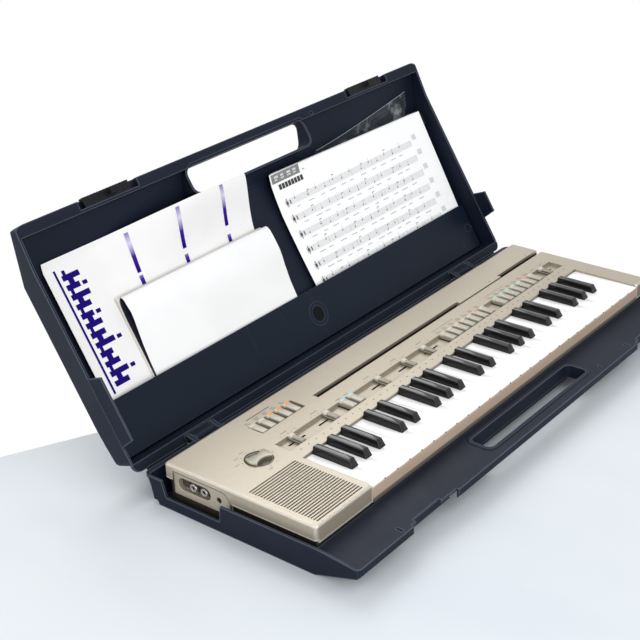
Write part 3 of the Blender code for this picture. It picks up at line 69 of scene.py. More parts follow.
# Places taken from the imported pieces
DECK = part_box("upper_case")[1].z - 1.2 * mm
BODY_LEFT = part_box("upper_case")[0].x
BODY_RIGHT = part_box("upper_case")[1].x
BODY_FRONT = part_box("upper_case")[0].y
STRIP_FLOOR = DECK - 4.0 * mm
SLOT_Y = BODY_FRONT + 106.96 * mm
SOCKET_Z = DECK - 16.2 * mm

# The instrument's layout, in millimetres from the left end and the front of its housing
FIRST_KEY = 80.4
KEY_PITCH = 19.4
WHITE_KEYS = 26
ALL_KEYS = 44
SLIDER_MIDDLES = (105.5, 150.8, 236.4, 282.3, 328.4)
BUTTON_PITCH = 12.6
BUTTON_WIDTH = 7.6
KNOB_MIDDLE = (55.4, 110.5)
SOCKETS = (131.4, 144.6)
JACK = 112.6
PLATE_FRONT = 98.0
PLATE_REAR = 168.0
PLATE_TOP = 39.6
PLATE_FOOT = 18.5
PLATE_ROUND = 12.0

# The lid, in millimetres, as if it were shut: its ceiling, the pocket's panel and the papers
CEILING = 56.7
SLOPE_FROM = -70.0
SLOPE = 0.464
PANEL_FACE = 46.2
PAPER_REAR = 113.5

TURN_OPEN = (
    Matrix.Translation(HINGE) @ Matrix.Rotation(LID_OPEN, 4, "X") @ Matrix.Translation(-HINGE)
)


def at(x, y, z):
    """A place on the instrument: millimetres from its left and its front, and a height in metres."""
    return (BODY_LEFT + x * mm, BODY_FRONT + y * mm, z)


# Finishes

def set_inputs(node, values):
    for name, value in values.items():
        node.inputs[name].default_value = value


def finish(name, colour, roughness, metallic=0.0, coat=0.0, specular=0.5):
    made = bpy.data.materials.new(name)
    made.use_nodes = True
    set_inputs(made.node_tree.nodes["Principled BSDF"], {
        "Base Color": (*colour, 1.0), "Roughness": roughness, "Metallic": metallic,
        "Coat Weight": coat, "Coat Roughness": 0.08, "Specular IOR Level": specular, "IOR": 1.5,
    })
    return made


def add_node(made, kind, **values):
    node = made.node_tree.nodes.new(kind)
    for name, value in values.items():
        if name in node.inputs:
            node.inputs[name].default_value = value
        else:
            setattr(node, name, value)
    return node


def join(made, source, target):
    made.node_tree.links.new(source, target)


def feed(made, source, name):
    """Drive one of the finish's own values by a node's reading."""
    join(made, source, made.node_tree.nodes["Principled BSDF"].inputs[name])


def spread(made, source, from_min, from_max, to_min, to_max):
    """A reading carried over from one pair of values to another, and held at its ends."""
    node = add_node(made, "ShaderNodeMapRange")
    set_inputs(node, {"From Min": from_min, "From Max": from_max, "To Min": to_min, "To Max": to_max})
    join(made, source, node.inputs["Value"])
    return node.outputs["Result"]


def object_noise(made, scale, detail=3.0, stretch=(1.0, 1.0, 1.0), roughness=0.5):
    """Noise on the object's own coordinates, at a scale in repeats per metre."""
    place = add_node(made, "ShaderNodeTexCoord")
    mapping = add_node(made, "ShaderNodeMapping", Scale=stretch)
    noise = add_node(made, "ShaderNodeTexNoise", Scale=scale, Detail=detail, Roughness=roughness)
    join(made, place.outputs["Object"], mapping.inputs["Vector"])
    join(made, mapping.outputs["Vector"], noise.inputs["Vector"])
    return noise


def vary_colour(made, noise, dark, light, low=0.3, high=0.7):
    ramp = add_node(made, "ShaderNodeValToRGB")
    ramp.color_ramp.elements[0].position = low
    ramp.color_ramp.elements[0].color = (*dark, 1.0)
    ramp.color_ramp.elements[1].position = high
    ramp.color_ramp.elements[1].color = (*light, 1.0)
    join(made, noise.outputs["Fac"], ramp.inputs["Fac"])
    feed(made, ramp.outputs["Color"], "Base Color")


def vary_roughness(made, noise, low, high):
    feed(made, spread(made, noise.outputs["Fac"], 0.0, 1.0, low, high), "Roughness")


def overlay(made, factor, colour):
    """Mix a colour over what the base colour is so far, by a factor from 0 to 1."""
    shader = made.node_tree.nodes["Principled BSDF"]
    before = shader.inputs["Base Color"]
    mix = add_node(made, "ShaderNodeMix", data_type="RGBA")
    if before.is_linked:
        join(made, before.links[0].from_socket, mix.inputs["A"])
    else:
        mix.inputs["A"].default_value = before.default_value
    mix.inputs["B"].default_value = (*colour, 1.0)
    join(made, factor, mix.inputs["Factor"])
    join(made, mix.outputs["Result"], before)


def band(made, axis, low, high, soft=0.05 * mm):
    """A factor that is 1 where the object's own coordinate lies between low and high."""
    place = add_node(made, "ShaderNodeTexCoord")
    parts = add_node(made, "ShaderNodeSeparateXYZ")
    join(made, place.outputs["Object"], parts.inputs["Vector"])
    reading = parts.outputs[axis]
    above = spread(made, reading, low - soft, low + soft, 0.0, 1.0)
    below = spread(made, reading, high + soft, high - soft, 0.0, 1.0)
    return product(made, above, below)


def product(made, first, second):
    both = add_node(made, "ShaderNodeMath", operation="MULTIPLY")
    join(made, first, both.inputs[0])
    join(made, second, both.inputs[1])
    return both.outputs["Value"]


def light_edges(made, radius, colour, amount, outside=()):
    """Lighter colour along the outer edges, where a moulding's corners catch the light.

    Each zone in outside is a set of (axis, low, high) bands, and the edges in it stay as they are.
    """
    flat_reading, corner_reading = 0.97, 0.60
    depth = add_node(made, "ShaderNodeAmbientOcclusion", inside=True, samples=6, Distance=radius)
    factor = spread(made, depth.outputs["AO"], flat_reading, corner_reading, 0.0, amount)
    for zone in outside:
        inner = product(made, *(band(made, axis, low, high) for axis, low, high in zone))
        outer = add_node(made, "ShaderNodeMath", operation="SUBTRACT")
        outer.inputs[0].default_value = 1.0
        join(made, inner, outer.inputs[1])
        factor = product(made, factor, outer.outputs["Value"])
    overlay(made, factor, colour)


def grain(made, noise, height, strength=0.5, edge=0.0):
    """Bump of the given height in metres; edge rounds the sharp edges optically by that radius."""
    bump = add_node(made, "ShaderNodeBump", Strength=strength, Distance=height)
    join(made, noise.outputs["Fac"], bump.inputs["Height"])
    if edge:
        soft_edge = add_node(made, "ShaderNodeBevel", samples=6, Radius=edge)
        join(made, soft_edge.outputs["Normal"], bump.inputs["Normal"])
    feed(made, bump.outputs["Normal"], "Normal")


def moulded_case_finish():
    made = finish("moulded_navy", (0.008, 0.012, 0.023), 0.42, specular=0.10)
    vary_colour(made, object_noise(made, 9.0, 4.0), (0.006, 0.009, 0.018), (0.009, 0.013, 0.025))
    light_edges(made, 1.3 * mm, (0.19, 0.22, 0.28), 0.36)
    vary_roughness(made, object_noise(made, 60.0, 5.0), 0.38, 0.52)
    grain(made, object_noise(made, 1500.0, 2.0), 0.06 * mm, 0.3, 0.8 * mm)
    return made


def pocket_finish():
    made = finish("pocket_sheet", (0.004, 0.009, 0.019), 0.36, specular=0.12)
    vary_colour(made, object_noise(made, 6.0, 4.0), (0.003, 0.0075, 0.016), (0.005, 0.0105, 0.021))
    scratch = object_noise(made, 14.0, 2.0, (9.0, 1.0, 1.0), 0.4)
    overlay(made, spread(made, scratch.outputs["Fac"], 0.72, 0.80, 0.0, 0.25), (0.05, 0.07, 0.09))
    light_edges(made, 0.8 * mm, (0.04, 0.05, 0.07), 0.5)
    vary_roughness(made, object_noise(made, 40.0, 6.0), 0.30, 0.44)
    grain(made, object_noise(made, 900.0, 2.0), 0.03 * mm, 0.2, 0.5 * mm)
    return made


def champagne_finish():
    made = finish("champagne_paint", (0.37, 0.325, 0.255), 0.34, 0.45)
    flecks = object_noise(made, 2600.0, 2.0)
    vary_colour(made, flecks, (0.335, 0.292, 0.225), (0.42, 0.37, 0.295))
    inner = (("X", BODY_LEFT + 2.6 * mm, BODY_RIGHT - 2.6 * mm), ("Y", BODY_FRONT + 2.2 * mm, 0.2))
    plate_y = (BODY_FRONT + (PLATE_FRONT - 1.5) * mm, BODY_FRONT + (PLATE_REAR + 2.0) * mm)
    plate = (("Y", *plate_y), ("Z", 0.0, DECK - 4.4 * mm))
    light_edges(made, 2.4 * mm, (0.92, 0.89, 0.83), 0.95, (inner, plate))
    light_edges(made, 0.6 * mm, (0.60, 0.55, 0.46), 0.35)
    vary_roughness(made, object_noise(made, 900.0, 3.0), 0.30, 0.42)
    grain(made, object_noise(made, 3000.0, 2.0), 0.02 * mm, 0.25, 0.9 * mm)
    return made


def lower_case_finish():
    """Tan key slip in front, with a grey-green lip under it, and dark brown elsewhere: the housing's
    sides and rear painted this dark as shade.
    """
    made = finish("lower_housing", (0.020, 0.016, 0.013), 0.4)
    vary_colour(made, object_noise(made, 300.0, 3.0), (0.017, 0.014, 0.012), (0.026, 0.021, 0.017))
    slip = band(made, "Y", -0.2, -0.070)
    overlay(made, slip, (0.39, 0.29, 0.215))
    streaks = object_noise(made, 40.0, 4.0, (0.6, 4.0, 4.0))
    overlay(made, product(made, slip, streaks.outputs["Fac"]), (0.50, 0.385, 0.295))
    lip = band(made, "Z", 0.0, 30.4 * mm)
    overlay(made, product(made, slip, lip), (0.085, 0.082, 0.075))
    grain(made, object_noise(made, 700.0, 3.0), 0.04 * mm, 0.25, 0.5 * mm)
    return made


def control_finish():
    made = finish("control_metal", (0.20, 0.18, 0.135), 0.34, 0.2, specular=0.4)
    vary_colour(made, object_noise(made, 1200.0, 2.0), (0.20, 0.18, 0.135), (0.27, 0.245, 0.19))
    # Painted shade: the bars darker below the deck's level, down in their wells.
    overlay(made, band(made, "Z", 0.0, DECK - 0.4 * mm, 0.4 * mm), (0.075, 0.065, 0.048))
    light_edges(made, 0.6 * mm, (0.56, 0.52, 0.44), 0.5)
    grain(made, object_noise(made, 1800.0, 2.0), 0.02 * mm, 0.2, 0.4 * mm)
    return made


def knob_finish():
    made = finish("knob_olive", (0.20, 0.18, 0.13), 0.30, 0.35)
    # Painted shade and light: the whole knob dark for the shade in its dish, and its grip lighter above
    # 46.2 mm, a painted highlight on its top.
    vary_colour(made, object_noise(made, 900.0, 2.0), (0.085, 0.077, 0.055), (0.115, 0.105, 0.075))
    overlay(made, band(made, "Z", 46.2 * mm, 60 * mm, 0.8 * mm), (0.27, 0.25, 0.19))
    light_edges(made, 0.8 * mm, (0.60, 0.56, 0.47), 0.6)
    grain(made, object_noise(made, 1800.0, 2.0), 0.02 * mm, 0.2, 0.6 * mm)
    return made


def key_finish(name, dark, light, roughness, coat, specular, edge):
    """Moulded key plastic: glossy on top, where fingers polish it, and duller on its sides."""
    side_roughness = 0.32
    made = finish(name, light, roughness, 0.0, coat, specular)
    vary_colour(made, object_noise(made, 25.0, 3.0), dark, light)
    light_edges(made, 0.5 * mm, edge, 0.5)
    shape = add_node(made, "ShaderNodeNewGeometry")
    parts = add_node(made, "ShaderNodeSeparateXYZ")
    join(made, shape.outputs["Normal"], parts.inputs["Vector"])
    polish = spread(made, parts.outputs["Z"], 0.3, 0.8, side_roughness, roughness)
    wear = object_noise(made, 200.0, 4.0)
    mix = add_node(made, "ShaderNodeMath", operation="MULTIPLY_ADD")
    mix.inputs[1].default_value = 0.05
    join(made, wear.outputs["Fac"], mix.inputs[0])
    join(made, polish, mix.inputs[2])
    feed(made, mix.outputs["Value"], "Roughness")
    grain(made, object_noise(made, 500.0, 2.0), 0.01 * mm, 0.15, 0.5 * mm)
    return made


def latch_finish(name, dark, light):
    made = finish(name, dark, 0.5, specular=0.15)
    vary_colour(made, object_noise(made, 300.0, 4.0), dark, light)
    light_edges(made, 0.8 * mm, tuple(value * 4 for value in light), 0.7)
    grain(made, object_noise(made, 1100.0, 3.0), 0.15 * mm, 0.6, 0.4 * mm)
    return made


def paper_finish(name, dark, light, roughness=0.6):
    made = finish(name, light, roughness, specular=0.3)
    vary_colour(made, object_noise(made, 18.0, 4.0), dark, light)
    grain(made, object_noise(made, 1400.0, 4.0), 0.02 * mm, 0.25)
    return made


def ink_finish(name, colour, light=None, roughness=0.6, metallic=0.0):
    made = finish(name, colour, roughness, metallic, specular=0.08)
    light = light or tuple(value * 1.25 + 0.004 for value in colour)
    vary_colour(made, object_noise(made, 700.0, 3.0), colour, light)
    return made


def violet_fade_finish():
    """Printed bars that fade from full violet at their lower end to a haze at their upper end."""
    made = finish("violet_fade_ink", (0.05, 0.015, 0.30), 0.6, specular=0.05)
    reading = add_node(made, "ShaderNodeAttribute", attribute_name="fade")
    ramp = add_node(made, "ShaderNodeValToRGB")
    ramp.color_ramp.elements[0].color = (0.010, 0.0, 0.16, 1.0)
    ramp.color_ramp.elements[1].color = (0.22, 0.17, 0.42, 1.0)
    ramp.color_ramp.elements.new(0.42).color = (0.045, 0.010, 0.25, 1.0)
    ramp.color_ramp.elements.new(0.74).color = (0.60, 0.58, 0.76, 1.0)
    join(made, reading.outputs["Fac"], ramp.inputs["Fac"])
    feed(made, ramp.outputs["Color"], "Base Color")
    return made


def clear_sleeve_finish():
    made = finish("clear_sleeve", (0.30, 0.33, 0.36), 0.14)
    shader = made.node_tree.nodes["Principled BSDF"]
    shader.inputs["Alpha"].default_value = 0.45
    crumples_and_sheen = object_noise(made, 38.0, 5.0, roughness=0.6)
    # The film lighter where the crumple noise is high: painted highlights on its crumples, which also
    # drive the bump.
    vary_colour(made, crumples_and_sheen, (0.05, 0.06, 0.07), (0.75, 0.78, 0.80), 0.5, 0.75)
    grain(made, crumples_and_sheen, 2.0 * mm, 0.9)
    return made


FINISHES = {
    "case": moulded_case_finish(),
    "pocket": pocket_finish(),
    "champagne": champagne_finish(),
    "lower": lower_case_finish(),
    "control": control_finish(),
    "knob": knob_finish(),
    "white_key": key_finish(
        "ivory_white", (0.90, 0.885, 0.87), (0.94, 0.93, 0.92), 0.22, 0.2, 0.35, (0.95, 0.95, 0.94),
    ),
    "black_key": key_finish(
        "piano_black", (0.0010, 0.0010, 0.0012), (0.0018, 0.0018, 0.0022), 0.08, 0.4, 0.25,
        (0.06, 0.06, 0.06),
    ),
    "latch": latch_finish("latch_grain", (0.003, 0.003, 0.004), (0.006, 0.006, 0.007)),
    # The right latch's lighter copy of the same finish: painted sheen, where more light falls on it.
    "latch_painted_sheen": latch_finish("latch_painted_sheen", (0.005, 0.005, 0.006), (0.011, 0.011, 0.012)),
    "paper": paper_finish("booklet_paper", (0.775, 0.765, 0.755), (0.82, 0.81, 0.80)),
    "leaflet": paper_finish("leaflet_paper", (0.80, 0.80, 0.795), (0.835, 0.835, 0.83), 0.45),
    "cream": paper_finish("cream_paper", (0.66, 0.60, 0.53), (0.74, 0.68, 0.61)),
    "card": paper_finish("card_paper", (0.88, 0.885, 0.88), (0.93, 0.93, 0.925), 0.4),
    # Grey for the cards' thin edges: painted shade on them.
    "card_edge": paper_finish("card_edge", (0.52, 0.52, 0.53), (0.66, 0.66, 0.67)),
    # Dark navy for the leaflet's inner side: painted shade inside the fold.
    "inside": paper_finish("leaflet_inside_painted_shade", (0.008, 0.009, 0.022), (0.014, 0.015, 0.034)),
    "black": ink_finish("black_cloth_and_painted_shade", (0.006, 0.006, 0.007)),
    "slot": ink_finish("dark_painted_shade", (0.030, 0.022, 0.015)),
    "recess": ink_finish("recess_brown", (0.048, 0.039, 0.030)),
    "label": ink_finish("label_grey", (0.13, 0.11, 0.085)),
    "stave": ink_finish("stave_ink", (0.34, 0.34, 0.35)),
    "note": ink_finish("note_ink", (0.05, 0.05, 0.05)),
    "header": ink_finish("header_grey", (0.20, 0.20, 0.20)),
    "pale": ink_finish("pale_mark", (0.55, 0.55, 0.55)),
    "violet": ink_finish("violet_ink", (0.006, 0.0, 0.13), (0.010, 0.0, 0.16)),
    "fade": violet_fade_finish(),
    # Pale caps: a painted highlight on the rounded rear ends of the buttons and sliders.
    "cap": ink_finish("cap_painted_highlight", (0.54, 0.50, 0.42), (0.62, 0.58, 0.49), 0.3),
    "orange": ink_finish("orange_mark", (0.88, 0.26, 0.03), (0.95, 0.34, 0.06), 0.35),
    "green": ink_finish("green_mark", (0.27, 0.62, 0.46), (0.37, 0.70, 0.55), 0.35),
    "blue": ink_finish("blue_mark", (0.33, 0.60, 0.80), (0.42, 0.68, 0.86), 0.35),
    "red": ink_finish("red_mark", (0.78, 0.24, 0.22), (0.86, 0.32, 0.29), 0.35),
    "steel": ink_finish("socket_steel", (0.30, 0.28, 0.25), (0.42, 0.40, 0.36), 0.25, 0.9),
    "band": ink_finish("stave_band", (0.74, 0.74, 0.74), (0.80, 0.80, 0.80)),
    "dish": ink_finish("dish_black", (0.0015, 0.001, 0.0015), roughness=0.35),
    "film": ink_finish("film_dark", (0.012, 0.012, 0.014), roughness=0.2),
    "film_edge": ink_finish("film_edge", (0.22, 0.24, 0.26), roughness=0.2),
    "sleeve": clear_sleeve_finish(),
}


# Making pieces

def add_object(name, data):
    made = bpy.data.objects.new(name, data)
    bpy.context.scene.collection.objects.link(made)
    return made


def put_in_order(elements, key):
    ranks = {element: rank for rank, element in enumerate(sorted(elements, key=key))}
    elements.sort(key=lambda element: ranks[element])
    elements.index_update()


def add_mesh(name, mesh):
    """A new object, its points, edges and faces in an order that is the same on each run."""
    bmesh.ops.recalc_face_normals(mesh, faces=mesh.faces)
    put_in_order(mesh.verts, lambda vert: tuple(vert.co))
    for elements in (mesh.edges, mesh.faces):
        put_in_order(elements, lambda element: sorted(vert.index for vert in element.verts))
    data = bpy.data.meshes.new(name)
    mesh.to_mesh(data)
    mesh.free()
    return add_object(name, data)


def add_piece(name, mesh, look, body, replaces=()):
    piece = add_mesh(name, mesh)
    looks = look if isinstance(look, (list, tuple)) else [look]
    for one in looks:
        piece.data.materials.append(FINISHES[one])
    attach(piece, body)
    if replaces:
        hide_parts(*replaces)
    return piece


def smooth(piece, angle=35):
    for polygon in piece.data.polygons:
        polygon.use_smooth = True
    piece.data.set_sharp_from_angle(angle=math.radians(angle))


def faces_of(verts):
    return {face for vert in verts for face in vert.link_faces}


def block(mesh, low, high, material=0):
    """A box between two corners; returns its vertices."""
    low, high = Vector(low), Vector(high)
    size = high - low
    place = Matrix.Translation((low + high) / 2) @ Matrix.Diagonal((*size, 1.0))
    made = bmesh.ops.create_cube(mesh, size=1.0, matrix=place)
    for face in faces_of(made["verts"]):
        face.material_index = material
    return made["verts"]


def round_edges(mesh, edges, width, segments):
    bmesh.ops.bevel(
        mesh, geom=edges, offset=width, offset_type="OFFSET", segments=segments,
        profile=0.5, affect="EDGES", clamp_overlap=True, material=-1,
    )


def rounded(mesh, verts, width, segments=2, above=-1.0):
    """Round a shape's edges, or only those that lie above a height."""
    edges = {edge for vert in verts for edge in vert.link_edges}
    edges = [edge for edge in edges if all(vert.co.z > above for vert in edge.verts)]
    round_edges(mesh, edges, width, segments)


def disc(mesh, centre, radius, depth, across=False, segments=20):
    """A short round bar centred on a point: upright, or lying across the instrument."""
    turn = Matrix.Rotation(math.pi / 2 if across else 0.0, 4, "Y")
    made = bmesh.ops.create_cone(
        mesh, cap_ends=True, cap_tris=False, segments=segments, radius1=radius,
        radius2=radius, depth=depth, matrix=Matrix.Translation(centre) @ turn,
    )
    return made["verts"]


def turned(mesh, points, centre, axis, steps):
    """A closed outline turned all the way round an axis through centre."""
    corners = [mesh.verts.new(point) for point in points]
    lines = [mesh.edges.new(pair) for pair in zip(corners, corners[1:] + corners[:1])]
    bmesh.ops.spin(
        mesh, geom=corners + lines, cent=centre, axis=axis, angle=2 * math.pi, steps=steps,
        use_merge=True,
    )
    bmesh.ops.remove_doubles(mesh, verts=mesh.verts, dist=0.005 * mm)


def rounded_copy(node, look, width, segments=2, widen=1.0):
    """A CAD piece again on its own body, its flat facets joined and its sharp edges rounded."""
    mesh = bmesh.new()
    mesh.from_mesh(nodes[node].data)
    bmesh.ops.remove_doubles(mesh, verts=mesh.verts, dist=0.002 * mm)
    bmesh.ops.dissolve_limit(
        mesh, angle_limit=math.radians(1.0), use_dissolve_boundaries=False,
        verts=mesh.verts, edges=mesh.edges, delimit=set(),
    )
    low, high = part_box(node)
    middle = (low.x + high.x) / 2
    for vert in mesh.verts:
        vert.co.x = middle + (vert.co.x - middle) * widen
    sharp = [
        edge for edge in mesh.edges
        if edge.is_manifold and edge.calc_face_angle(0) > math.radians(25)
    ]
    round_edges(mesh, sharp, width, segments)
    smooth(add_piece(node + "_finished", mesh, look, node, (node,)), 40)


def repaint(looks):
    """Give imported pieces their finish."""
    for name, look in looks.items():
        materials = nodes[name].data.materials
        materials.clear()
        materials.append(FINISHES[look])


# Instrument

def finish_keys():
    """Rounded keys, the white ones a little wider, so that less dark shows between them."""
    white_widen = 1.016
    for name in nodes:
        if name.startswith("white_key"):
            rounded_copy(name, "white_key", 0.35 * mm, widen=white_widen)
        elif name.startswith("black_key"):
            rounded_copy(name, "black_key", 0.6 * mm, 3)


def button_banks():
    """Each panel button's left edge in metres, its front, length and rise in mm, and its mark."""
    strip = (96.9, 17.5, 1.2)
    well = (137.8, 18.0, 0.3)
    banks = (
        (BODY_LEFT + 180.1 * mm, strip, ["blue"] * 2),
        (BODY_RIGHT - 253.1 * mm, strip, ["cap"] * 5 + ["red", "cap"]),
        (BODY_RIGHT - 149.1 * mm, strip, ["green"] * 5 + ["red", "cap"]),
        (BODY_LEFT + 93.2 * mm, well, ["cap"] * 2 + ["orange"] * 3),
    )
    return [
        (start + i * BUTTON_PITCH * mm, *place, mark)
        for start, place, marks in banks
        for i, mark in enumerate(marks)
    ]


def finger_bar(mesh, low, high, cap_length=3.4 * mm, drop=0.5 * mm, mark=False):
    """A round bar that falls to the front, with a raised cap at its rear and, on some, a mark."""
    verts = block(mesh, low, high)
    for vert in verts:
        if vert.co.z > low[2] + 1 * mm and vert.co.y < low[1] + 1 * mm:
            vert.co.z -= drop
    shoulder = high[2] - 2 * mm
    rounded(mesh, verts, 1.4 * mm, 4, shoulder)
    side = 0.12 * mm
    # The cap takes the second finish, its pale colour a painted highlight on the rounded end.
    cap = block(
        mesh, (low[0] - side, high[1] - cap_length, high[2] - 2.4 * mm),
        (high[0] + side, high[1] + side, high[2] + 0.3 * mm), 1,
    )
    rounded(mesh, cap, 1.5 * mm, 4, shoulder)
    if mark:
        spot = block(
            mesh, (low[0] + 1.3 * mm, high[1] - 2.9 * mm, high[2] - 0.6 * mm),
            (high[0] - 1.3 * mm, high[1] - 0.1 * mm, high[2] + 0.35 * mm), 2,
        )
        rounded(mesh, spot, 0.3 * mm, 2, shoulder)


def make_buttons():
    """Each panel button: a bar over the housing's own button, its mark in the bank's colour."""
    skin = 0.3 * mm
    for number, (left, front, length, rise, mark) in enumerate(button_banks(), 1):
        mesh = bmesh.new()
        front = BODY_FRONT + front * mm
        finger_bar(
            mesh, (left - skin, front - skin, STRIP_FLOOR + 0.1 * mm),
            (left + BUTTON_WIDTH * mm + skin, front + length * mm + skin, DECK + rise * mm + skin),
            mark=mark != "cap",
        )
        looks = ["control", "cap", mark]
        smooth(add_piece(f"panel_button_{number:02d}", mesh, looks, "base"))


def make_button_wells():
    """Painted shade: a dark floor round the panel buttons, deep between their sides."""
    side = (BUTTON_PITCH - BUTTON_WIDTH) / 2 * mm
    mesh = bmesh.new()
    for left, front, length, _, _ in button_banks():
        front = BODY_FRONT + front * mm
        block(
            mesh, (left - side, front - 0.2 * mm, STRIP_FLOOR - 0.1 * mm),
            (left + BUTTON_WIDTH * mm + side, front + (length + 0.2) * mm, STRIP_FLOOR + 0.2 * mm),
        )
    add_piece("button_well_painted_shade", mesh, "slot", "base")


def make_sliders():
    """Slider caps: a round bar across the strip on a low shoe, and the stem that runs in the slot."""
    floor = STRIP_FLOOR + 0.3 * mm
    for name in ("slider_1", "slider_2", "slider_3", "slider_4", "slider_5", "power_switch"):
        low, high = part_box(name)
        middle = (low.x + high.x) / 2
        mesh = bmesh.new()
        finger_bar(
            mesh, (middle - 3.1 * mm, low.y + 0.2 * mm, floor + 0.5 * mm),
            (middle + 3.1 * mm, high.y - 0.3 * mm, high.z - 0.3 * mm), 4.6 * mm, 0.9 * mm,
        )
        shoe = block(mesh, (low.x, low.y, floor), (high.x, high.y - 0.2 * mm, DECK - 1.9 * mm))
        rounded(mesh, shoe, 0.5 * mm, 2, floor + 1 * mm)
        block(
            mesh, (middle - 2.0 * mm, SLOT_Y - 0.7 * mm, low.z),
            (middle + 2.0 * mm, SLOT_Y + 0.7 * mm, floor + 1 * mm),
        )
        smooth(add_piece(name + "_cap", mesh, ["control", "cap"], name, (name,)))


def make_strip_slots():
    """Black sheets in the slots of the strip's floor, painted shade: two walls and a floor under each."""
    mesh = bmesh.new()
    foot, top = STRIP_FLOOR - 2.0 * mm, STRIP_FLOOR + 0.03 * mm
    for middle in SLIDER_MIDDLES:
        x = BODY_LEFT + middle * mm
        for half, near, far in ((12.2, 0.75, 0.98), (12.22, -0.98, -0.75)):
            block(
                mesh, (x - half * mm, SLOT_Y + near * mm, foot),
                (x + half * mm, SLOT_Y + far * mm, top),
            )
        block(
            mesh, (x - 14 * mm, SLOT_Y - 4 * mm, 34.4 * mm), (x + 14 * mm, SLOT_Y + 4 * mm, 35.4 * mm),
        )
    add_piece("strip_slot_painted_shade", mesh, "black", "base")


def make_key_ticks():
    """The dark joint between each two white keys, where it shows over the slip."""
    mesh = bmesh.new()
    for i in range(1, WHITE_KEYS):
        x = FIRST_KEY + i * KEY_PITCH
        tick = block(mesh, at(x - 0.55, 0.35, DECK - 4.2 * mm), at(x + 0.55, 1.0, DECK - 2.7 * mm))
        rounded(mesh, tick, 0.15 * mm, 1)
    add_piece("key_ticks", mesh, "recess", "base")


def make_card_slot_shade():
    """The dark inside of the card slot, painted as shade: its front wall, its floor and the foot of its
    rear wall.
    """
    mesh = bmesh.new()
    front, rear, reader_rear = 137.3, 144.5, 139.5
    reader_left, reader_right = 433.8, 519.0
    left, right = 176.0, (BODY_RIGHT - BODY_LEFT) / mm - 0.7
    floor, top = 31.2 * mm, DECK - 0.5 * mm
    rear_top = top - 2.9 * mm
    stretches = (
        (left, reader_left, rear), (reader_left, reader_right, reader_rear), (reader_right, right, rear),
    )
    for start, end, wall in stretches:
        low, high = start + 0.1, end - 0.1
        block(mesh, at(low, wall - 0.25, floor + 0.1 * mm), at(high, wall - 0.03, rear_top))
        block(mesh, at(low, front + 0.03, floor + 0.1 * mm), at(high, front + 0.25, top))
        block(
            mesh, at(low, front + 0.2, floor + 0.05 * mm), at(high, wall - 0.2, floor + 0.4 * mm),
        )
    add_piece("card_slot_painted_shade", mesh, "slot", "base")


def make_key_dots():
    """One small dark dot on the panel behind each key, and two small holes near the card slot."""
    mesh = bmesh.new()
    for i in range(ALL_KEYS):
        disc(mesh, at(90.6 + 11.3 * i, 89.8, DECK), 0.75 * mm, 0.14 * mm, segments=14)
    for x, y in ((500.6, 143.2), (585.9, 146.1)):
        disc(mesh, at(x, y, DECK), 0.9 * mm, 0.14 * mm, segments=14)
    add_piece("key_dots", mesh, "note", "base")


def make_panel_lines():
    """Generic grey marks around the controls: scale ticks, bars and short rules, no words."""
    mesh = bmesh.new()

    def rule(x, y, length, width=0.5):
        block(mesh, at(x, y, DECK - 0.1 * mm), at(x + length, y + width, DECK + 0.05 * mm))

    for middle in SLIDER_MIDDLES:
        for i in range(5):
            rule(middle - 10.3 + i * 5.0, 117.0, 0.6, 1.4 if i % 2 else 2.2)
        rule(middle - 6, 122.0, 9.0, 0.8)
    for start in (355.1, 459.0):
        for i in range(7):
            x = start + i * BUTTON_PITCH
            rule(x + 1.0, 118.0, 6.4, 0.8)
            rule(x + 1.0, 120.4, 3.6 + (i * 5 % 4), 0.8)
        rule(start, 124.5, 40.0, 0.5)
    for i in range(2):
        rule(180.0 + i * BUTTON_PITCH, 118.5, 6.0, 0.8)
    for i in range(5):
        rule(93.0 + i * BUTTON_PITCH, 159.0, 5.5 + (i * 3 % 3), 0.8)
        rule(93.0 + i * BUTTON_PITCH, 161.4, 3.5 + (i * 7 % 4), 0.8)
    rule(100.0, 165.0, 34.0, 1.4)
    rule(551.0, 118.5, 7.0, 0.8)
    rule(570.0, 118.5, 7.0, 0.8)
    for i in range(9):
        angle = math.radians(155 - i * 32)
        across, up = math.cos(angle), math.sin(angle)
        dot = at(KNOB_MIDDLE[0] + 17.0 * across, KNOB_MIDDLE[1] + 17.0 * up, DECK)
        disc(mesh, dot, 0.6 * mm, 0.12 * mm, segments=10)
        if across < 0.2:
            rule(KNOB_MIDDLE[0] + 20.0 * across - 5.0, KNOB_MIDDLE[1] + 20.0 * up, 5.0, 0.7)
    add_piece("panel_marks", mesh, "label", "base")


def make_grille_backing():
    """Black cloth behind the slots of the grille."""
    mesh = bmesh.new()
    block(mesh, at(4, 3.2, DECK - 3.4 * mm), at(FIRST_KEY - 4.4, 86, DECK - 2.7 * mm))
    add_piece("grille_cloth", mesh, "black", "base")


def plate_outline():
    """The jack plate's edge, (y, z) in millimetres: its rear, its top and its round front corner."""
    middle_y, middle_z = PLATE_FRONT + PLATE_ROUND, PLATE_TOP - PLATE_ROUND
    outline = [(PLATE_REAR, PLATE_FOOT), (PLATE_REAR, PLATE_TOP), (middle_y, PLATE_TOP)]
    for degrees in range(9, 91, 9):
        turn = math.radians(degrees)
        outline.append((middle_y - PLATE_ROUND * math.sin(turn), middle_z + PLATE_ROUND * math.cos(turn)))
    return outline + [(PLATE_FRONT, PLATE_FOOT + 1.0)]


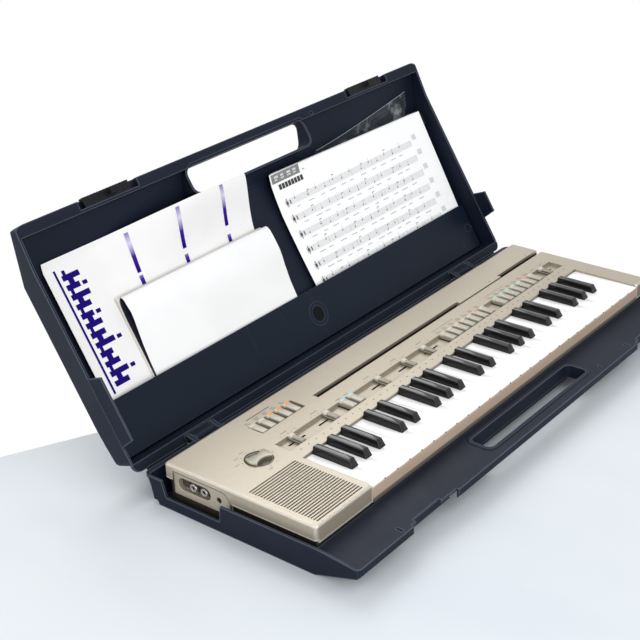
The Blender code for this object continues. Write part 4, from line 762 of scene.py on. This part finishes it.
def make_socket_collars():
    """Bright turned collars round the two sockets of the left end."""
    profile = (
        (2.0, 1.5), (2.0, 1.2), (2.6, 0.9), (3.4, 0.9), (4.1, 1.2), (4.5, 1.9), (4.5, 5.6), (2.0, 5.6),
    )
    for number, y in enumerate(SOCKETS, 1):
        mesh = bmesh.new()
        points = [at(depth, y + radius, SOCKET_Z) for radius, depth in profile]
        turned(mesh, points, at(0, y, SOCKET_Z), (1, 0, 0), 32)
        smooth(add_piece(f"socket_collar_{number}", mesh, "steel", "base"))


def make_socket_bores():
    """The dark bores of the two sockets and the jack."""
    mesh = bmesh.new()
    for y in SOCKETS:
        disc(mesh, at(3.6, y, SOCKET_Z), 1.95 * mm, 3.0 * mm, across=True)
    disc(mesh, at(4.4, JACK, SOCKET_Z - 0.6 * mm), 3.05 * mm, 3.0 * mm, across=True)
    add_piece("socket_bores", mesh, "black", "base")


def make_socket_recess():
    """The dark floor of the sockets' recess, painted shade, its small key, and the line round the jack
    plate.
    """
    mesh = bmesh.new()
    # A dark sheet on the recess floor: painted shade.
    recess_shade = block(mesh, at(5.7, 123.2, 23.0 * mm), at(6.1, 162.2, 35.0 * mm))
    rounded(mesh, recess_shade, 0.1 * mm, 1)
    outline = plate_outline()
    for (y, z), (next_y, next_z) in zip(outline, outline[1:]):
        length = math.hypot(next_y - y, next_z - z) + 0.3
        middle = at(0.5, (y + next_y) / 2, (z + next_z) / 2 * mm)
        turn = Matrix.Rotation(math.atan2(next_z - z, next_y - y), 4, "X")
        size = Matrix.Diagonal((1.2 * mm, length * mm, 0.5 * mm, 1.0))
        bmesh.ops.create_cube(mesh, size=1.0, matrix=Matrix.Translation(middle) @ turn @ size)
    key = block(mesh, at(2.0, 150.2, SOCKET_Z + 2.6 * mm), at(5.9, 154.0, SOCKET_Z + 5.0 * mm))
    rounded(mesh, key, 0.3 * mm, 2)
    add_piece("socket_recess", mesh, "recess", "base")


# Lid and its papers, all in the shut lid's coordinates until they are turned open

def lid_piece(name, mesh, look, replaces=()):
    bmesh.ops.transform(mesh, matrix=TURN_OPEN, verts=mesh.verts)
    return add_piece(name, mesh, look, "lid", replaces)


def paper_piece(name, mesh, look, replaces=()):
    """A piece of paper in the lid: turned open with it and carried on its body, smooth-shaded, with a
    mesh of its own.
    """
    piece = lid_piece(name, mesh, look, replaces)
    smooth(piece, 60)
    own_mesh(piece)


def card_piece(name, mesh, look, replaces=()):
    paper_piece(name, mesh, look, replaces)


def ceiling(y):
    """Height of the lid's inner face, in millimetres, over a distance from front to rear."""
    return CEILING - SLOPE * max(0.0, SLOPE_FROM - y)


def along(points, value):
    """Height on a line through (place, height) points, rising places, flat beyond both ends."""
    if value <= points[0][0]:
        return points[0][1]
    for (a, low), (b, high) in zip(points, points[1:]):
        if value <= b:
            share = (value - a) / (b - a)
            return low + (high - low) * share
    return points[-1][1]


def ease(value):
    value = min(1.0, max(0.0, value))
    return value * value * (3.0 - 2.0 * value)


def patch(mesh, face, left, front, right, rear, columns=1, rows=1, lift=0.0):
    """A grid laid on a paper's face: x from left to right, y from front to rear, in millimetres."""
    made = bmesh.ops.create_grid(mesh, x_segments=columns, y_segments=rows, size=0.5)
    for vert in made["verts"]:
        x = left + (right - left) * (vert.co.x + 0.5)
        y = front + (rear - front) * (vert.co.y + 0.5)
        vert.co = Vector((x, y, face(x, y) - lift)) * mm
    return made["verts"]


def sheet(mesh, face, left, front, right, rear, columns, rows, thickness, edge=0):
    """A sheet of paper: the patch, its back a thickness behind it and its thin edges."""
    faces = list(faces_of(patch(mesh, face, left, front, right, rear, columns, rows)))
    before = set(mesh.faces)
    lifted = bmesh.ops.extrude_face_region(mesh, geom=faces, use_keep_orig=True)
    moved = [item for item in lifted["geom"] if isinstance(item, bmesh.types.BMVert)]
    bmesh.ops.translate(mesh, verts=moved, vec=(0, 0, thickness * mm))
    back = {item for item in lifted["geom"] if isinstance(item, bmesh.types.BMFace)}
    for one in set(mesh.faces) - before - back:
        one.material_index = edge


BOOKLET_LEFT = -295.5
BOOKLET_RIGHT = -24.0
BOOKLET_TOP = -83.9
PRINT_FOOT = 128.74
BOOKLET_LEAN = (
    (-84.4, 25.6), (-80.0, 24.9), (-76.0, 23.4), (-67.0, 19.0), (-57.7, 14.2), (-49.0, 9.8),
    (-41.0, 6.2), (-32.0, 2.6), (-24.0, 0.7), (-16.0, 0.0),
)


def booklet_face(x, y):
    """Front face of the booklet: its right part leans out of the lid at the top."""
    rest = 53.0 - 2.0 * ease((-236.0 - x) / 60.0)
    lean = along(BOOKLET_LEAN, y) * ease((x + 262.0) / 164.0)
    return min(rest - lean, ceiling(y) - 2.6)


def make_booklet():
    """The booklet's leaves, with a slight spread."""
    mesh = bmesh.new()
    for leaf in range(4):

        def face(x, y, depth=0.55 * leaf):
            return booklet_face(x, y) + depth

        shift = 0.35 * leaf
        sheet(
            mesh, face, BOOKLET_LEFT + shift, BOOKLET_TOP + 0.25 * shift, BOOKLET_RIGHT - shift,
            PAPER_REAR, 40, 44, 0.4,
        )
    paper_piece("booklet_leaves", mesh, "paper", ("song_booklet",))


def print_booklet_frieze():
    """A generic frieze of unequal bars down the booklet's left side, beside a thin rule."""
    mesh = bmesh.new()

    def bar(x, foot, length, width):
        y = PRINT_FOOT - foot
        columns, rows = max(1, round(length / 5)), max(1, round(width / 3))
        patch(mesh, booklet_face, x, y - width, x + length, y, columns, rows, 0.25)

    bar(-285, 72, 2.6, 130)
    foot = 77.0
    for i, length in enumerate((9, 14, 9, 6, 15, 9, 11, 6, 9, 14, 7, 12)):
        bar(-278.5, foot, 10 + length, 5.6)
        if i % 3 == 1:
            bar(-278.5 + 13 + length, foot, 6, 4.0)
        if i % 2 == 0:
            bar(-273, foot + 5.4, 7, 4.8)
        else:
            bar(-276, foot + 5.4, 4, 4.8)
        foot += 10.2
    paper_piece("booklet_frieze", mesh, "violet")


def print_booklet_bars():
    """Three bars that fade upwards, each over the upper end of another."""
    mesh = bmesh.new()
    fade = mesh.verts.layers.float.new("fade")
    tall, short, width = 41.0, 21.0, 5
    for i, x in enumerate((-194, -130, -65)):
        foot = 166.0 + 2.2 * i
        for start, height in ((foot, tall), (foot - 24.0 - 3.0 * i, short)):
            rear = PRINT_FOOT - start
            verts = patch(mesh, booklet_face, x, rear - height, x + width, rear, 2, 14, 0.3)
            for vert in verts:
                vert[fade] = (rear - vert.co.y / mm) / tall
    paper_piece("booklet_bars", mesh, "fade")


LEAFLET_FRONT_RIGHT = (
    (-14.0, 40.9), (-11.0, 40.5), (5.2, 40.4), (14.0, 41.9), (23.4, 44.1), (41.7, 47.3), (60.1, 48.6),
    (PAPER_REAR, 50.2),
)
LEAFLET_FRONT_LEFT = (
    (-14.0, 43.6), (-6.7, 42.2), (2.0, 43.1), (11.3, 45.0), (28.4, 48.2), (44.7, 50.2), (60.3, 51.2),
    (PAPER_REAR, 51.4),
)
LEAFLET_BACK = ((-14.0, 50.4), (-1.4, 51.3), (27.8, 51.4), (59.2, 51.7), (PAPER_REAR, 51.8))
LEAFLET_LEFT = -230.0
LEAFLET_RIGHT = -14.0
LEAFLET_FOLD = -14.0
FOLD_DEPTH = 9.0
FOLD_SHARE = 0.1


def leaflet_leaves(x, y):
    """Heights of the leaflet's front and back leaves."""
    share = (x - LEAFLET_LEFT) / (LEAFLET_RIGHT - LEAFLET_LEFT)
    share = min(1.0, max(0.0, share))
    left, right = along(LEAFLET_FRONT_LEFT, y), along(LEAFLET_FRONT_RIGHT, y)
    return left + (right - left) * share, along(LEAFLET_BACK, y)


def leaflet_point(across, step):
    """A point of the folded sheet: across from 0 to 1, step from -0.5 at its back to 0.5."""
    x = LEAFLET_LEFT + (LEAFLET_RIGHT - LEAFLET_LEFT) * across
    if abs(step) > FOLD_SHARE:
        y = LEAFLET_FOLD + (PAPER_REAR - LEAFLET_FOLD) * (abs(step) - FOLD_SHARE) / (0.5 - FOLD_SHARE)
        front, back = leaflet_leaves(x, y)
        z = front if step > 0 else back
    else:
        turn = math.pi * (step + FOLD_SHARE) / (2 * FOLD_SHARE)
        front, back = leaflet_leaves(x, LEAFLET_FOLD)
        y = LEAFLET_FOLD - FOLD_DEPTH * math.sin(turn)
        z = (front + back) / 2 + (back - front) / 2 * math.cos(turn)
    if step < 0:
        x -= 2.0 * (1.0 - across) * min(1.0, -step * 10)
    return Vector((x, y, z)) * mm


def make_leaflet():
    """The leaflet in front of the booklet: one sheet folded over at its top, its leaves apart."""
    mesh = bmesh.new()
    made = bmesh.ops.create_grid(mesh, x_segments=36, y_segments=96, size=0.5)
    for vert in made["verts"]:
        vert.co = leaflet_point(vert.co.x + 0.5, vert.co.y)
    mesh.normal_update()
    outer = list(mesh.faces)
    bmesh.ops.solidify(mesh, geom=outer, thickness=0.25 * mm)
    outer = set(outer)
    # One side of the sheet takes the dark navy finish: painted shade inside the fold.
    for one in mesh.faces:
        one.material_index = 1 if one in outer else 0
    paper_piece("leaflet", mesh, ["leaflet", "inside"])


def make_leaflet_insert():
    """The cream sheet behind the leaflet, a little larger than it."""
    mesh = bmesh.new()

    def behind(x, y):
        return along(LEAFLET_BACK, y) + 0.45

    sheet(mesh, behind, LEAFLET_LEFT - 3.6, -24.6, LEAFLET_RIGHT - 2.0, PAPER_REAR, 12, 40, 0.25)
    paper_piece("leaflet_insert", mesh, "cream")


CARD_TOP = -71.0
CARD_LEFT = (
    (CARD_TOP, 42.6), (-57.9, 46.8), (-40.5, 49.5), (-24.3, 51.2), (-6.7, 51.7), (25.9, 52.0),
    (60.0, 51.6), (PAPER_REAR, 52.0),
)
CARD_RIGHT = ((CARD_TOP, 40.4), (-62.0, 41.0), (5.0, 45.0), (61.0, 48.6), (PAPER_REAR, 50.6))
CARD_LEFT_EDGE = 22.5
CARD_RIGHT_EDGE = 303.5
CARDS = 8


def card_share(x):
    """How far a point lies across the foremost card, 0 at its left edge and 1 at its right."""
    return (x - CARD_LEFT_EDGE) / (CARD_RIGHT_EDGE - CARD_LEFT_EDGE)


def card_face(x, y):
    """Front face of the foremost card."""
    left, right = along(CARD_LEFT, y), along(CARD_RIGHT, y)
    return left + (right - left) * card_share(x)


def make_cards():
    """The stack of song cards, fanned at the top, each a little out of line."""
    fan_left, fan_top, corner_drop, corner_reach = 14.5, 0.25, 4.5, 40.0
    mesh = bmesh.new()
    for number in range(CARDS):
        share = number / (CARDS - 1)

        def face(x, y, share=share):
            near = card_face(x, y)
            far = min(CEILING - 0.6, ceiling(y) - 0.7)
            return near + (far - near) * share ** 1.1

        shift = ((number * 7) % 5) * 0.3
        top = CARD_TOP - fan_top * number
        left = CARD_LEFT_EDGE + fan_left * share + shift
        right = CARD_RIGHT_EDGE + (0.9 - shift * 0.8 if number else 0.0)
        first = len(mesh.verts)
        # The cards' edges take the grey finish, painted shade.
        sheet(mesh, face, left, top, right, PAPER_REAR, 20, 30 if number else 92, 0.3, 1)
        mesh.verts.ensure_lookup_table()
        for vert in mesh.verts[first:]:
            reach = max(0.0, 1.0 - (vert.co.y / mm - top) / corner_reach)
            vert.co.y += corner_drop * mm * reach * card_share(vert.co.x / mm)
    card_piece("card_stack", mesh, ["card", "card_edge"], ("music_cards",))


def print_card_header(ink):
    """A grey header with pale marks, a row of dark blocks and a row of small grey ones."""
    ink("header", 24.5, -70.0, 47, 10.0, 4, 8, 0.3)
    for i in range(4):
        ink("pale", 29 + i * 10.5, -67.5, 6.5 - (i % 2) * 1.5, 2.4, 1, 2, 0.45)
        ink("pale", 29 + i * 10.5, -64.0, 4.5 + (i % 3), 1.4, 1, 2, 0.45)
    for i in range(8):
        ink("note", 33 + i * 5.2, -57.4, 4.3, 6.0, 1, 4, 0.2)
    for i in range(15):
        ink("stave", 76 + i * 5.2, -63.0, 3.9, 1.4, 1, 1, 0.2)
    for x, width in ((166, 16), (196, 8), (214, 17), (246, 22)):
        ink("band", x - 2, -62.5, width + 4, 5.6, 1, 3, 0.15)
        ink("stave", x, -60.5, width, 1.5, 1, 1, 0.25)


def print_stave(ink, row):
    """One stave on its pale band, with its clef, notes, bar lines and the marks under it."""
    y = -38.7 + row * 19.0
    start, end = 34, 267
    ink("band", start, y, end - start, 7.3, 1, 8, 0.1)
    for line in range(5):
        ink("stave", start, y + line * 1.8, end - start, 0.16, 1, 1, 0.16)
    for barline in range(7):
        ink("stave", start + barline * (end - start) / 6 - 0.3, y, 0.5, 7.4, 1, 2)
    ink("note", start + 2.2, y - 1.6, 1.1, 10.4, 1, 2)
    ink("note", start + 0.9, y + 2.0, 3.6, 3.6)
    ink("note", start + 7.0, y + 1.4, 1.8, 4.6)
    for n in range(13):
        x = start + 15 + n * 16.2 + (n * 5 + row * 3) % 6
        head = y + 1.0 + (n * 3 + row * 5) % 6
        ink("note", x, head, 1.9, 1.4)
        ink("note", x + 1.5, head - 4.6, 0.3, 5.0)
        if n % 3 == 1:
            ink("note", x + 1.5, head - 4.8, 4.0, 0.8)
    for n in range(11):
        x = start + 14 + n * 19.0 + (n * 7 + row) % 5
        ink("stave", x, y + 11.2, 7.0 + (n * 3 + row) % 5, 0.9)
    ink("pale", 272, y - 5.0, 8.0, 6.4, 1, 6)


def print_cards():
    """The front card's generic print: a header and six staves in thin ink."""
    pieces = {
        "band": "card_bands", "stave": "card_staves", "note": "card_notes", "header": "card_header",
        "pale": "card_pale_marks",
    }
    meshes = {look: bmesh.new() for look in pieces}

    def ink(look, x, y, width, height, columns=1, rows=1, lift=0.12):
        patch(meshes[look], card_face, x, y, x + width, y + height, columns, rows, lift)

    print_card_header(ink)
    for row in range(6):
        print_stave(ink, row)
    for look, name in pieces.items():
        card_piece(name, meshes[look], look)


SLEEVE_LEFT = 118
SLEEVE_RIGHT = 299
SLEEVE_FOOT = -62.0


def sleeve_top(x):
    """Upper edge of the clear sleeve, which rises to the right."""
    return -75.0 - 20.6 * min(1.0, (max(120.0, x) - 120.0) / 178.0) ** 1.25


def make_sleeve():
    """A clear crumpled sleeve that sticks out above the cards, towards the lid's corner."""
    mesh = bmesh.new()
    made = bmesh.ops.create_grid(mesh, x_segments=60, y_segments=14, size=0.5)
    for vert in made["verts"]:
        across, up = vert.co.x + 0.5, vert.co.y + 0.5
        x = SLEEVE_LEFT + (SLEEVE_RIGHT - SLEEVE_LEFT) * across
        y = SLEEVE_FOOT + (sleeve_top(x) - SLEEVE_FOOT) * up
        x += max(0.0, 0.5 - up) * -14.0 * across
        ripple = 0.5 + 0.5 * math.sin(x * 0.23 + y * 0.31) * math.sin(x * 0.07 - y * 0.53)
        vert.co = Vector((x, y, ceiling(y) - 0.35 - 1.3 * ripple * across)) * mm
    smooth(lid_piece("clear_sleeve", mesh, "sleeve"))


def make_sleeve_edge():
    """The painted highlight along the sleeve's upper edge, a light line in short straight stretches."""
    mesh = bmesh.new()
    stretch, last = 4, SLEEVE_RIGHT - 1
    for x in range(SLEEVE_LEFT, last, stretch):
        end = min(last, x + stretch)
        made = bmesh.ops.create_grid(mesh, x_segments=1, y_segments=1, size=0.5)
        for vert in made["verts"]:
            share = vert.co.x + 0.5
            y = sleeve_top(x) + (sleeve_top(end) - sleeve_top(x)) * share + 0.7 * vert.co.y
            vert.co = Vector((x + (end - x) * share, y, ceiling(y) - 2.2)) * mm
    lid_piece("sleeve_edge", mesh, "film_edge")


def make_divider_tab():
    """The dark tab of a divider, which shows beside the cards' upper right corner."""
    mesh = bmesh.new()

    def tab_face(x, y):
        return card_face(x, y) + 1.2

    patch(mesh, tab_face, 300.0, -63.0, 310.0, -49.0, 4, 6)
    card_piece("divider_tab", mesh, "film")


def make_hinge_gap_shade():
    """A dark bead along the lid's rear rim, painted black as the shade in the gap to the tray, which it
    closes when the lid stands open.
    """
    mesh = bmesh.new()
    for low, high in ((-304.0, -249.4), (-208.6, 208.6), (249.4, 304.0)):
        bead = block(mesh, (low * mm, 130.2 * mm, 29.3 * mm), (high * mm, 132.7 * mm, 32.6 * mm))
        rounded(mesh, bead, 0.7 * mm, 3)
    smooth(lid_piece("hinge_gap_painted_shade", mesh, "dish"))


def raised_ring(mesh, x, y, radius, half, height, steps):
    """A low moulded ring on the pocket's panel."""
    outline = [(-half, 0.2), (-half * 0.5, -height), (half * 0.5, -height), (half, 0.2)]
    points = [((x + radius + r) * mm, y * mm, (PANEL_FACE + h) * mm) for r, h in outline]
    turned(mesh, points, (x * mm, y * mm, 0), (0, 0, 1), steps)


def make_pocket_details():
    """The moulded rings and dark dish round the panel's seat, and the small ring at its right end."""
    seat_x, seat_y = 1.5, 88.35
    mesh = bmesh.new()
    raised_ring(mesh, seat_x, seat_y, 13.5, 0.6, 0.35, 56)
    raised_ring(mesh, seat_x, seat_y, 9.3, 0.4, 0.25, 56)
    raised_ring(mesh, 299.0, 90.4, 5.2, 0.4, 0.3, 32)
    smooth(lid_piece("pocket_ring", mesh, "pocket"))
    mesh = bmesh.new()
    middle = (seat_x * mm, seat_y * mm, (PANEL_FACE + 0.75) * mm)
    rounded(mesh, disc(mesh, middle, 8.5 * mm, 0.5 * mm, segments=48), 0.15 * mm, 1)
    smooth(lid_piece("pocket_dish", mesh, "dish"))


# Room

def camera_axes():
    """Unit vectors of the photograph's camera: backwards, to the right and up."""
    a, b, c = (math.radians(v) for v in (PHOTO_AZIMUTH, PHOTO_ELEVATION, PHOTO_ROLL))
    back = Vector((math.sin(a) * math.cos(b), -math.cos(a) * math.cos(b), math.sin(b)))
    level = Vector((math.cos(a), math.sin(a), 0))
    upward = back.cross(level)
    right = level * math.cos(c) + upward * math.sin(c)
    up = upward * math.cos(c) - level * math.sin(c)
    return back, right, up


def make_floor():
    """A pale table whose far edge lies where the photograph shows it."""
    back, right, up = camera_axes()
    focal = PHOTO_LENS / PHOTO_SENSOR * PHOTO_SIDE

    def on_floor(pixel):
        u, v = pixel
        ray = right * (u - PHOTO_SIDE / 2) - up * (v - PHOTO_SIDE / 2) - back * focal
        return CAMERA_PLACE + ray * (-CAMERA_PLACE.z / ray.z)

    a, b = on_floor(FLOOR_EDGE_LEFT), on_floor(FLOOR_EDGE_RIGHT)
    far = (b - a).normalized()
    across = Vector((far.y, -far.x, 0))
    if across.dot(CAMERA_PLACE - a) < 0:
        across = -across
    mesh = bmesh.new()
    corners = [a - far * 3, a + far * 6, a + far * 6 + across * 6, a - far * 3 + across * 6]
    mesh.faces.new([mesh.verts.new((c.x, c.y, -0.0002)) for c in corners])
    floor = add_mesh("table_top", mesh)
    made = finish("table_paint", (0.60, 0.64, 0.67), 0.5, specular=0.2)
    clouds = object_noise(made, 5.0, 4.0, (1.0, 0.5, 1.0))
    vary_colour(made, clouds, (0.58, 0.62, 0.655), (0.63, 0.66, 0.68), 0.35, 0.65)
    floor.data.materials.append(made)


def make_camera():
    back, right, up = camera_axes()
    data = bpy.data.cameras.new("photo_camera")
    data.lens = PHOTO_LENS
    data.sensor_width = PHOTO_SENSOR
    data.clip_start = 0.01
    data.clip_end = 50
    camera = add_object("photo_camera", data)
    turn = Matrix((right, up, back)).transposed().to_4x4()
    camera.matrix_world = Matrix.Translation(CAMERA_PLACE) @ turn
    bpy.context.scene.camera = camera


def add_lamp(name, place, target, size, power, colour=(1, 1, 1)):
    data = bpy.data.lights.new(name, "AREA")
    data.shape = "SQUARE"
    data.size = size
    data.energy = power
    data.color = colour
    lamp = add_object(name, data)
    lamp.location = place
    direction = Vector(target) - Vector(place)
    lamp.rotation_euler = direction.to_track_quat("-Z", "Y").to_euler()


def make_light():
    add_lamp("window_left", (-1.7, 0.35, 0.7), (0, 0, 0.05), 1.4, 14, (1.0, 0.99, 0.97))
    add_lamp("softbox_top_front", (0.15, -1.5, 1.9), (0, 0, 0.05), 1.6, 17)
    add_lamp("softbox_front_low", (-0.9, -1.5, 0.55), (0, 0, 0.1), 1.0, 16)
    add_lamp("softbox_back", (0.9, 1.3, 1.6), (0.1, 0, 0.05), 1.6, 25, (0.97, 0.98, 1.0))
    world = bpy.data.worlds.new("studio")
    bpy.context.scene.world = world
    world.use_nodes = True
    tree = world.node_tree
    background = tree.nodes["Background"]
    set_inputs(background, {"Color": (0.94, 0.96, 1.0, 1.0), "Strength": 0.55})
    seen = tree.nodes.new("ShaderNodeBackground")
    set_inputs(seen, {"Color": (1, 1, 1, 1), "Strength": 1.0})
    path = tree.nodes.new("ShaderNodeLightPath")
    mix = tree.nodes.new("ShaderNodeMixShader")
    either = tree.nodes.new("ShaderNodeMath")
    either.operation = "MAXIMUM"
    tree.links.new(path.outputs["Is Camera Ray"], either.inputs[0])
    tree.links.new(path.outputs["Is Glossy Ray"], either.inputs[1])
    tree.links.new(either.outputs["Value"], mix.inputs["Fac"])
    tree.links.new(background.outputs["Background"], mix.inputs[1])
    tree.links.new(seen.outputs["Background"], mix.inputs[2])
    tree.links.new(mix.outputs["Shader"], tree.nodes["World Output"].inputs["Surface"])


# Everything, in order
# latch_right takes the lighter latch finish, a painted sheen.
repaint({
    "case_tray": "case", "case_lid": "case", "lid_pocket": "pocket", "latch_left": "latch",
    "latch_right": "latch_painted_sheen", "upper_case": "champagne", "lower_case": "lower",
})
finish_keys()
rounded_copy("selector_knob", "knob", 0.5 * mm, 3)
make_buttons()
make_button_wells()
make_sliders()
make_strip_slots()
make_key_ticks()
make_card_slot_shade()
make_key_dots()
make_panel_lines()
make_grille_backing()
make_socket_collars()
make_socket_bores()
make_socket_recess()
make_booklet()
print_booklet_frieze()
print_booklet_bars()
make_leaflet()
make_leaflet_insert()
make_cards()
print_cards()
make_sleeve()
make_sleeve_edge()
make_divider_tab()
make_hinge_gap_shade()
make_pocket_details()
make_camera()
make_floor()
make_light()
bpy.context.scene.view_settings.view_transform = "Standard"
